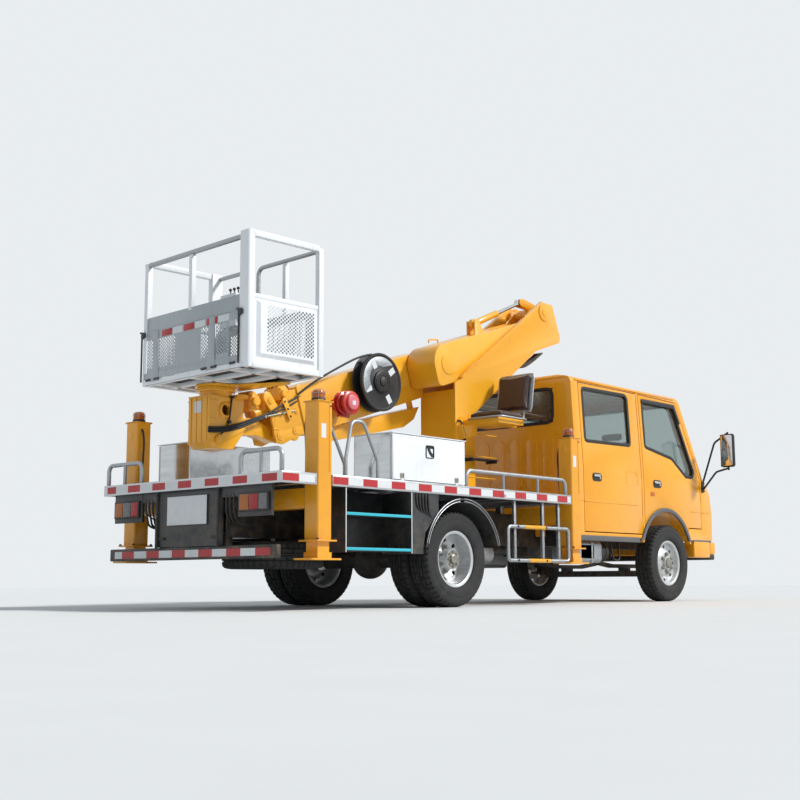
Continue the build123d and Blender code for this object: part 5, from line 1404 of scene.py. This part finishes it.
class TRUCK_OT_drum_and_siren(bpy.types.Operator):
    """Cable drum with its pale crescent and patches, red siren with its bolted flange"""
    bl_idname = "truck.drum_and_siren"
    bl_label = "Drum and siren"

    def execute(self, context):
        x, z = DRUM
        profiles = (
            (72, [(0, 2), (108, 2), (112, 4), (222, 4), (232, -4), (246, -4), (250, 2), (250, 14), (240, 18),
                  (0, 14)]),
            (72, [(0, 94), (240, 94), (250, 98), (250, 108), (240, 110), (0, 110)]),
            (48, [(0, 10), (112, 10), (112, 98), (0, 98)]),
            (56, [(0, -22), (70, -22), (84, -20), (94, -14), (96, 2), (108, 4), (0, 4)]),
            (36, [(0, -34), (34, -34), (40, -30), (42, -20), (0, -20)]),
        )
        black = [turned(profile, (x, 0, z), "Y", steps) for steps, profile in profiles]
        for radius in (56, 78):
            black.append(turned([(radius, -22), (radius + 3, -25), (radius + 6, -22), (radius + 3, -18),
                                 (radius, -22)], (x, 0, z), "Y", 48))
        black += [bolt((u, -24, v), "Y", 8, 4, -1) for u, v in around(x, z, 60, even_turns(12))]
        black.append(turned([(0, 108), (60, 108), (60, 150), (0, 150)], (x, 0, z), "Y", 32))
        hand_over(black, "drum_flanges", "cable_drum", "abs_black", ["cable_drum"])
        turns = []
        for radius, layer in ((128, range(24, 92, 15)), (142, range(31, 84, 15))):
            ring = around(x, z, radius, even_turns(40))
            turns += [tube([(u, y, v) for u, v in ring], 7.5, 0, True, 8) for y in layer]
        hand_over(turns, "drum_cable", "cable_drum", "epdm_rubber")
        outer = around(x, z, 218, [radians(a) for a in range(48, 213, 6)])
        inner = around(x - 22, z + 20, 118, [radians(a) for a in range(208, 66, -6)])
        crescent = plate(outer + inner, "Y", 1.5, 4.5, 1)
        hand_over(crescent, "drum_crescent", "cable_drum", "galvanised")
        patches = []
        for turn, face in ((122, -0.6), (205, 1.6), (305, 1.6), (38, 1.6)):
            a = radians(turn)
            patch = block((-26, face, -38), (26, face + 2.5, 38), 0.6, 1)
            place = (x + 168 * cos(a), 0, z + 168 * sin(a))
            patches.append(turn_about(patch, pi / 2 - a, "Y", (0, 0, 0), place))
        hand_over(patches, "drum_patches", "cable_drum", "sheeting_white")

        x, z = SIREN
        red = [turned([(0, -78), (62, -78), (68, -74), (70, -62), (82, -60), (96, -54), (98, -44),
                       (98, -38), (84, -34), (80, -6), (92, -2), (102, 2), (102, 14), (92, 18), (84, 20),
                       (84, 44), (100, 46), (102, 60), (0, 60)], (x, 0, z), "Y", 56)]
        red += [bolt((u, -2, v), "Y", 11, 6, -1) for u, v in around(x, z, 90, even_turns(10))]
        for u, v in around(x, z, 83, even_turns(24)):
            red.append(block((u - 3, -32, v - 3), (u + 3, -8, v + 3), 1.5, 1))
        red.append(block((x - 40, 58, z - 40), (x + 40, 151.5, z + 40), 5))
        red.append(block((x - 60, 20, z - 112), (x + 60, 60, z - 92), 5))
        hand_over(red, "siren_body", "siren", "powder_red", ["siren"])
        pale = turned([(0, -82), (52, -82), (58, -80), (58, -77), (0, -77)], (x, 0, z), "Y", 48)
        hand_over(pale, "siren_disc", "siren", "sheeting_pink")
        white = block((x - 18, -83.2, z - 22), (x + 22, -81.5, z + 14), 0.6, 1)
        hand_over(white, "siren_patch", "siren", "sheeting_white")
        return {"FINISHED"}


class TRUCK_OT_boom_head(bpy.types.Operator):
    """Levers, bosses, valve blocks and rams round the basket's bracket"""
    bl_idname = "truck.boom_head"
    bl_label = "Boom head"

    def execute(self, context):
        head = []
        for y in (168, 402):
            head.append(strap([(-1000, 1640), (-930, 1560), (-905, 1450), LEVEL_PIN], 88, "Y", y, y + 22))
            head.append(strap([(-655, 1740), (-720, 1620), (-690, 1500), (-700, 1360)], 84, "Y", y, y + 22))
            for px, pz in ((-905, 1455), (-690, 1440)):
                head.append(block((px - 36, y - 8, pz - 66), (px + 36, y + 30, pz - 56), 3))
        for px, pz, radius in ((*LEVEL_PIN, 40), (-970, 1615, 26), (-690, 1560, 24), (-700, 1400, 30)):
            head += pin_head(px, pz, 168, radius, -1)
            head += pin_head(px, pz, 424, radius, 1)
        for px, pz in ((-970, 1615), (-690, 1560), (-700, 1400)):
            head.append(turned([(0, 168), (18, 168), (18, 424), (0, 424)], (px, 0, pz), "Y", 24))
        for cx, cz in ((-1105, 1590), (-960, 1593), (-800, 1684)):
            head.append(block((cx - 44, 205, cz - 52), (cx + 44, 395, cz + 60), 14, 3))
            head.append(block((cx - 30, 225, cz + 56), (cx + 30, 375, cz + 92), 8, 3))
            head.append(turned([(0, 205), (34, 205), (38, 200), (38, 176), (30, 170), (0, 170)],
                               (cx, 0, cz + 6), "Y", 32))
            for dx in (-34, 34):
                for dz in (-40, 46):
                    head.append(bolt((cx + dx, 204, cz + dz), "Y", 13, 8, -1))
            for fin in range(4):
                head.append(block((cx - 46, 216 + 46 * fin, cz - 70), (cx + 46, 224 + 46 * fin, cz + 74), 3,
                                  1))
        rams = (((-1060, 1512), (-660, 1640), 0), ((-1090, 1502), (-1056, 1513), 9),
                ((-700, 1627), (-656, 1641), 9))
        for y, radius in ((250, 34), (302, 26)):
            for (x0, z0), (x1, z1), wall in rams:
                head.append(tube([(x0, y, z0), (x1, y, z1)], radius + wall, 0, False, 24))
        head.append(strap([(-842, 1625), (-805, 1560), (-776, 1500)], 46, "Y", 140, 150, 2))
        hand_over(head, "boom_head_levers", "boom_inner", "enamel_arm")

        clips = ((-842, 1618), (-808, 1562), (-778, 1506))
        dark = [turned([(0, 137), (9, 137), (9, 141), (0, 141)], (px, 0, pz), "Y", 20) for px, pz in clips]
        for k in range(2):
            dark.append(hose([(-650, 160 + 20 * k, 1690 - 30 * k), (-760, 150, 1640 - 40 * k),
                              (-900, 156, 1570 - 30 * k), (-1010, 160 + 8 * k, 1500 - 10 * k)], 8))
        for y in (330, 300):
            dark.append(hose([(-838, y, 1738), (-812, y + 6, 1790), (-760, y + 6, 1812),
                              (-700, y + 3, 1800), (-660, y, 1768)], 7))
        hand_over(dark, "boom_head_hoses", "boom_inner", "epdm_rubber")
        silver = [tube([(-1040, 150, 1478), (-720, 150, 1560)], 6),
                  turned([(0, 0), (13, 0), (13, 26), (0, 26)], (-1040, 140, 1478), "Y", 6),
                  turned([(0, 0), (13, 0), (13, 26), (0, 26)], (-850, 140, 1527), "Y", 6)]
        hand_over(silver, "boom_head_rod", "boom_inner", "zinc_plate")

        bracket = []
        for y, side in ((178, -1), (422, 1)):
            bracket.append(turned([(44, 0), (62, 0), (62, side * 8), (56, side * 12), (44, side * 12),
                                   (44, 0)], (-1420, y, 1495), "Y", 40))
            bracket.append(strap([(-1492, 1262), (-1400, 1305), (-1262, 1378)], 66, "Y",
                                 *sorted((y, y + side * 16))))
            bracket += pin_head(-1492, 1262, y + side * 16, 24, side)
            bracket.append(block((-1582, min(y, y + side * 5), 1594), (-1238, max(y, y + side * 5), 1602),
                                 2))
            for z in (1240, 1420, 1560):
                bracket.append(block((-1584, min(y, y + side * 6), z - 4),
                                     (-1500, max(y, y + side * 6), z + 4), 2))
        bracket.append(block((-1586, 186, 1244), (-1578, 414, 1252), 2))
        for k in range(4):
            bracket.append(block((-1586, 200 + 62 * k, 1215), (-1580, 206 + 62 * k, 1590), 2, 1))
        bracket.append(turned([(0, 1600), (60, 1600), (60, 1626), (0, 1626)], (-1258, 196, 0), "Z", 24))
        hand_over(bracket, "bracket_bosses", "basket_mount", "enamel_arm")
        label = block((-1583.6, 262, 1470), (-1580, 352, 1560), 0.6, 1)
        hand_over(label, "bracket_label", "basket_mount", "sheeting_white")
        thin = [tube([(-1368, 165, 1607), (-1395, 165, 1400)], 7),
                tube([(-1395, 165, 1400), (-1470, 165, 1300)], 5)]
        for place in ((-1368, 165, 1600), (-1395, 165, 1405)):
            thin.append(turned([(0, -14), (14, -14), (14, 14), (0, 14)], place, "Y", 20))
        hand_over(thin, "bracket_rod", "basket_mount", "abs_black")

        for name, shift in (("cable_to_bracket_1", 0), ("cable_to_bracket_2", 16),
                            ("cable_to_bracket_3", 32)):
            line = [(-1600, 160, 1315 + shift), (-1450, 158, 1322 + shift), (-1300, 156, 1368 + shift),
                    (-1150, 152, 1425 + shift), (-1020, 150, 1480 + shift * 0.6)]
            piece = coat(hose(line, 8), LOOKS["epdm_rubber"])
            piece.name = piece.data.name = name
            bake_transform(piece)
        line = [(40, 20, 2104), (-79, 30, 2080), (-342, 60, 1940), (-605, 110, 1780), (-700, 140, 1690)]
        piece = coat(hose(line, 9), LOOKS["epdm_rubber"])
        piece.name = piece.data.name = "drum_lead"
        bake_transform(piece)
        return {"FINISHED"}


class TRUCK_OT_boom_fittings(bpy.types.Operator):
    """Handles, pin covers, seams, clips and hoses along the arm and on the turret"""
    bl_idname = "truck.boom_fittings"
    bl_label = "Arm and turret fittings"

    def execute(self, context):
        arm = [tube([(690, -60, 2285), (694, -60, 2316), (816, -60, 2332), (820, -60, 2300)], 7, 14)]
        arm += pin_head(*BOOM_PIVOT, -178, 62, -1, 12)
        arm += pin_head(*BOOM_PIVOT, 140, 62, 1, 12)
        hand_over(arm, "arm_fittings", "boom_base", "enamel_arm")

        tower = []
        for side, y in ((-1, -200), (1, 200)):
            tower += pin_head(*BOOM_PIVOT, y + side * 4, 40, side, 6)
            tower += pin_head(*LUFF_PIN, y, 34, side)
            for z in (1110, 1300, 1500):
                tower.append(block((884, min(y, y + side * 5), z), (1480, max(y, y + side * 5), z + 10), 2))
        hand_over(tower, "turret_bosses", "turret", "enamel_arm")

        dark = []
        steel = [tube([(910, -204, 1600), (900, -252, 1590), (960, -252, 1440), (985, -204, 1430)], 9, 26),
                 block((950, -330, 1262), (1330, -204, 1272), 4)]
        for x in (970, 1300):
            steel.append(block((x, -330, 1240), (x + 8, -204, 1264), 2))
        for k in range(5):
            y = -150 + 22 * k
            dark.append(hose([(1540, y, 2330), (1720, y - 6, 2300), (1885, y, 2210), (2050, y + 8, 2230),
                              (2290, y, 2400)], 8))
        for k in range(4):
            y = -60 + 26 * k
            dark.append(hose([(1030, y, 1040), (930, y, 1180), (905, y + 6, 1400), (960, y, 1560)], 9))
        hand_over(dark, "turret_hoses", "turret", "epdm_rubber")
        hand_over(steel, "turret_handle", "turret", "abs_black")
        return {"FINISHED"}


BOX = {"x": (-818, 24), "y": (-970, -600), "top": 1280}
LEFT_SHIFT = -602


class TRUCK_OT_toolbox_trim(bpy.types.Operator):
    """Latches, hinges, door frame bars and polished ends of both toolboxes"""
    bl_idname = "truck.toolbox_trim"
    bl_label = "Toolbox trim"

    def execute(self, context):
        (x0, x1), (y0, y1), top = BOX["x"], BOX["y"], BOX["top"]
        middle = (x0 + x1) / 2
        for side, name, shift in ((-1, "right", 0), (1, "left", LEFT_SHIFT)):
            cup = [(middle - 48, 1118), (middle - 48, 1216), (middle + 48, 1216), (middle + 48, 1118)]
            latch = [ring_plate(cup, 0, -7, 14, "Y", y0 - 26, y0 - 19, 1.5),
                     plate(rounded(grown(cup, -2), 12), "Y", y0 - 21, y0 - 19, 0.5),
                     strap([(middle - 22, 1188), (middle - 4, 1160), (middle + 20, 1140)], 26, "Y", y0 - 31,
                           y0 - 22, 3),
                     turned([(0, 0), (10, 0), (10, -12), (0, -12)], (middle - 20, y0 - 21, 1190), "Y", 24)]
            hinges = []
            for x in (x0 + 90, x1 - 120):
                hinges.append(tube([(x - 4, y0 - 20, 944), (x + 34, y0 - 20, 944)], 6.5, 0, False, 16))
                hinges.append(block((x - 8, y0 - 23, 950), (x + 38, y0 - 20, 990), 2))
                for bx in (x + 2, x + 28):
                    hinges.append(bolt((bx, y0 - 23, 976), "Y", 8, 4, -1))
            ends = [block((x, y0 + 6, 940), (x + 1.5, y1 - 6, top - 2), 0.6, 1) for x in (x0 - 1.5, x1)]
            ends.append(block((x0 + 6, y1, 940), (x1 - 6, y1 + 1.5, top - 2), 0.6, 1))
            frame_bars = [block((x0 + 14, y0 - 21.5, 956), (x1 - 14, y0 - 19.5, 962), 1, 1),
                          block((x0 + 14, y0 - 21.5, 1258), (x1 - 14, y0 - 19.5, 1264), 1, 1),
                          block((x0 + 10, y0 - 21.5, 958), (x0 + 16, y0 - 19.5, 1262), 1, 1),
                          block((x1 - 16, y0 - 21.5, 958), (x1 - 10, y0 - 19.5, 1262), 1, 1)]
            door = f"toolbox_door_{name}"
            for key, parts, node, finish in (("black", latch, door, "abs_black"),
                                             ("steel", hinges, door, "zinc_plate"),
                                             ("ends", ends, "toolboxes", "stainless"),
                                             ("frame", frame_bars, door, "enamel_white")):
                piece = join(parts)
                if side > 0:
                    right = piece
                    piece = mirrored(right)
                    piece.data.transform(Matrix.Translation((mm(shift), 0, 0)))
                    bpy.data.objects.remove(right)
                hand_over(piece, f"box_{key}_{name}", node, finish)
        return {"FINISHED"}


GUARD_Y, GUARD_LOW, GUARD_HIGH = 981, 366, 640


def side_block(side, x0, x1, near, far, z0, z1, bevel=1.0):
    """A block between two distances from the truck's middle, on one side."""
    a, b = across(side, near, far)
    return block((x0, a, z0), (x1, b, z1), bevel)


class TRUCK_OT_side_gear(bpy.types.Operator):
    """Steps with cyan strips, mudguard rims, side guards with yellow bands, tanks, canister and wiring"""
    bl_idname = "truck.side_gear"
    bl_label = "Side gear"

    def execute(self, context):
        cyan, white, rims, grey, yellow, black, straps = [], [], [], [], [], [], []
        for side in (-1, 1):
            for z in (415, 660):
                cyan.append(side_block(side, -1296, -618, 988, 993.5, z + 1, z + 21))
                for k in range(9):
                    straps.append(side_block(side, -1280 + 74 * k, -1236 + 74 * k, 720, 976, z + 21.5,
                                             z + 24, 1))
            for x in (-1306, -612):
                white.append(side_block(side, x - 1, x + 7, 990, 994, 402, 850))
            turns = [radians(14 + 152 * k / 24) for k in range(25)]
            for radius, y_at in ((461, 1001), (440, 999)):
                line = [(radius * cos(a), side * y_at, TYRE_R + radius * sin(a)) for a in turns]
                for half in ([p for p in line if p[0] > 0], [p for p in line if p[0] < 0]):
                    rims.append(tube(half, 3.4, 0, False, 8))
            for k in range(5):
                x = -560 + 34 * k
                black.append(hose([(x, side * 994, 850), (x - 4, side * 1000, 800),
                                   (x + 6, side * 996, 740 - 12 * k), (x + 60, side * 985, 700 - 10 * k)],
                                  6))
            guard_y = side * GUARD_Y
            grey.append(tube([(580, guard_y, GUARD_LOW), (580, guard_y, GUARD_HIGH),
                              (1440, guard_y, GUARD_HIGH), (1440, guard_y, GUARD_LOW)], 16, 34, True))
            for x in (704, 1098, 1330):
                grey.append(side_block(side, x - 15, x + 15, 938, 966, 352, 852, 5))
            for x0, z0 in ((800, GUARD_HIGH), (860, GUARD_LOW)):
                yellow.append(tube([(x0, guard_y, z0), (x0 + 300, guard_y, z0)], 17.2, 0))
            for x in (704, 1098):
                for z in (GUARD_LOW, GUARD_HIGH):
                    black.append(bolt((x, side * 997, z), "Y", 13, 6, side))
            for x in (1500, 1595):
                black.append(side_block(side, x, x + 8, 700, 930, 500, 680, 2))
        beam = [block((-1897.5, -925, 356), (-1858, 925, 446), 5, 3)]
        for side in (-1, 1):
            beam.append(side_block(side, -1897, -1859, 925, 931, 358, 444, 3))
            beam.append(side_block(side, -1860, -1800, 325, 375, 380, 510, 4))
        hand_over(beam, "tail_beam", "underrun_guards", "chassis_black", ["underrun_guards"])
        hand_over(grey, "side_guards", "underrun_guards", "galvanised")
        hand_over(yellow, "side_guard_bands", "underrun_guards", "sheeting_yellow")
        hand_over(cyan, "step_strips", "rear_fenders", "sheeting_cyan")
        hand_over(white, "step_edges", "rear_fenders", "sheeting_white")
        hand_over(rims, "mudguard_rims", "rear_fenders", "galvanised")
        hand_over(straps, "step_treads", "rear_fenders", "chassis_black")

        silver = [block((1802, -800, 362), (2150, -562, 558), 34, 4)]
        for x in (1880, 2070):
            silver.append(block((x, -806, 356), (x + 30, -556, 564), 12, 2))
        hand_over(silver, "side_tank_metal", "side_tanks", "galvanised")
        canister = (0, -700, 462)
        black.append(turned([(0, 2160), (70, 2160), (84, 2172), (88, 2190), (88, 2380), (78, 2402),
                             (40, 2412), (0, 2412)], canister, "X", 40))
        for x in (2200, 2340):
            black.append(turned([(88, x), (92, x), (92, x + 20), (88, x + 20), (88, x)], canister, "X", 40))
        black.append(tube([(2440, -770, 560), (2450, -790, 400), (2560, -790, 380), (2580, -770, 560)], 8,
                          40))
        hand_over(black, "side_canister", "side_tanks", "epdm_rubber")
        return {"FINISHED"}


BLOW_FRAMES = 20


def cushion(lo, hi, voxel=5, cap=14):
    """A pad blown up by a short cloth simulation from a slightly smaller block, by at most cap mm."""
    pad = block(lo, hi, 26, 4)
    modify(pad, "REMESH", mode="VOXEL", voxel_size=mm(voxel), use_smooth_shade=True)
    rest = [v.co.copy() for v in pad.data.vertices]
    cloth = pad.modifiers.new("blow", "CLOTH")
    cloth.settings.quality = 5
    cloth.settings.mass = 0.3
    cloth.settings.tension_stiffness = 12
    cloth.settings.compression_stiffness = 12
    cloth.settings.use_pressure = True
    cloth.settings.uniform_pressure_force = 4.0
    cloth.settings.effector_weights.gravity = 0
    cloth.point_cache.frame_start, cloth.point_cache.frame_end = 1, BLOW_FRAMES
    for frame_number in range(1, BLOW_FRAMES + 1):
        bpy.context.scene.frame_set(frame_number)
    pick(pad)
    bpy.ops.object.modifier_apply(modifier=cloth.name)
    bpy.context.scene.frame_set(1)
    for vertex, old in zip(pad.data.vertices, rest):
        move = vertex.co - old
        if move.length > mm(cap):
            vertex.co = old + move.normalized() * mm(cap)
    modify(pad, "SUBSURF", levels=1, render_levels=1)
    return smooth(pad, 80)


def soft_piece(obj, name, node, finish, stands_for=()):
    hand_over(obj, name, node, finish, stands_for)


class TRUCK_OT_seats(bpy.types.Operator):
    """Blown-up cushions of the operator's seat, the front seats and the rear bench, with their shells"""
    bl_idname = "truck.seats"
    bl_label = "Seats"

    def execute(self, context):
        hinge, lean = (1375, -445, 1690), radians(9)
        pan = cushion((984, -622, 1618), (1330, -268, 1660))
        soft_piece(pan, "operator_pan", "operator_seat", "leatherette", ["operator_seat"])
        back = cushion((1366, -620, 1706), (1398, -270, 2040))
        soft_piece(turn_about(back, lean, "Y", hinge), "operator_back", "operator_seat", "leatherette")
        shell = join([block((1408, -634, 1692), (1418, -256, 2056), 8, 3),
                      tube([(1413, -636, 1700), (1413, -636, 2052), (1413, -254, 2052), (1413, -254, 1700)],
                           9, 40, True)])
        rim = tube([(966, -634, 1612), (1362, -634, 1612), (1362, -256, 1612), (966, -256, 1612)], 9, 40,
                   True)
        posts = [tube([(1362, y, 1612), (1400, y, 1640), (1424, y, 1760)], 10, 30) for y in (-560, -330)]
        hand_over([turn_about(shell, lean, "Y", hinge), rim, *posts], "operator_frame", "operator_seat",
                  "galvanised")

        hinge, lean = (3050, -500, 1010), radians(-9)
        front = {"base": cushion((2976, -708, 916), (3364, -292, 996), 7),
                 "back": turn_about(cushion((3010, -696, 1040), (3080, -304, 1560), 8), lean, "Y", hinge),
                 "head": turn_about(cushion((3008, -610, 1574), (3068, -390, 1640), 6), lean, "Y", hinge)}
        for name, piece in front.items():
            twin = copy_at(piece, (0, 1000, 0))
            soft_piece(piece, f"seat_{name}_right", "cab_seats", "seat_cloth",
                       ["cab_seats"] if name == "base" else [])
            soft_piece(twin, f"seat_{name}_left", "cab_seats", "seat_cloth")
        bench = cushion((2068, -704, 880), (2456, 704, 996), 13, 12)
        soft_piece(bench, "bench_base", "cab_seats", "seat_cloth")
        bench_back = cushion((1936, -704, 1036), (2030, 704, 1560), 13, 12)
        turn_about(bench_back, radians(-6.4), "Y", (1980, 0, 1010))
        soft_piece(bench_back, "bench_back", "cab_seats", "seat_cloth")

        shells = []
        for y in (-500, 500):
            shells.append(block((2970, y - 224, 900.5), (3370, y + 224, 914), 6, 3))
            for side in (-1, 1):
                shells.append(block((2990, y + side * 205 - 12, 900.5), (3340, y + side * 205 + 12, 922),
                                    4))
                shells.append(tube([(2958, y + side * 60, 1596), (2966, y + side * 60, 1560)], 6))
        shells.append(block((2064, -712, 735.5), (2460, 712, 878), 12, 3))
        hand_over(shells, "seat_shells", "cab_seats", "abs_black")
        return {"FINISHED"}


OPERATORS = (
    TRUCK_OT_stage, TRUCK_OT_frame_finish, TRUCK_OT_basket_frame, TRUCK_OT_basket_panels,
    TRUCK_OT_swing_gear, TRUCK_OT_wheels, TRUCK_OT_deck_trim, TRUCK_OT_lamps, TRUCK_OT_tail,
    TRUCK_OT_cab_glazing, TRUCK_OT_cab_trim, TRUCK_OT_cab_front, TRUCK_OT_drum_and_siren,
    TRUCK_OT_boom_head, TRUCK_OT_boom_fittings, TRUCK_OT_toolbox_trim, TRUCK_OT_side_gear,
    TRUCK_OT_seats,
)


class TRUCK_PT_looks(bpy.types.Panel):
    """The truck's sizes, colours and steps"""
    bl_label = "Cherry picker truck"
    bl_idname = "TRUCK_PT_looks"
    bl_space_type = "VIEW_3D"
    bl_region_type = "UI"
    bl_category = "Truck"

    def draw(self, context):
        for group in (context.scene.truck_sizes, context.scene.truck_colours):
            for name in group.__annotations__:
                self.layout.prop(group, name)
        for operator in OPERATORS:
            self.layout.operator(operator.bl_idname)


def register():
    for cls in (TruckColours, TruckSizes, *OPERATORS, TRUCK_PT_looks):
        bpy.utils.register_class(cls)
    bpy.types.Scene.truck_colours = bpy.props.PointerProperty(type=TruckColours)
    bpy.types.Scene.truck_sizes = bpy.props.PointerProperty(type=TruckSizes)


def unregister():
    del bpy.types.Scene.truck_colours, bpy.types.Scene.truck_sizes
    for cls in reversed((TruckColours, TruckSizes, *OPERATORS, TRUCK_PT_looks)):
        bpy.utils.unregister_class(cls)


def main():
    register()
    LOOKS.update(make_materials(bpy.context.scene.truck_colours))
    for operator in OPERATORS:
        area, name = operator.bl_idname.split(".")
        if getattr(getattr(bpy.ops, area), name)() != {"FINISHED"}:
            raise RuntimeError(operator.bl_label + " did not finish")
    bpy.context.view_layer.update()


if __name__ == "__main__":
    main()
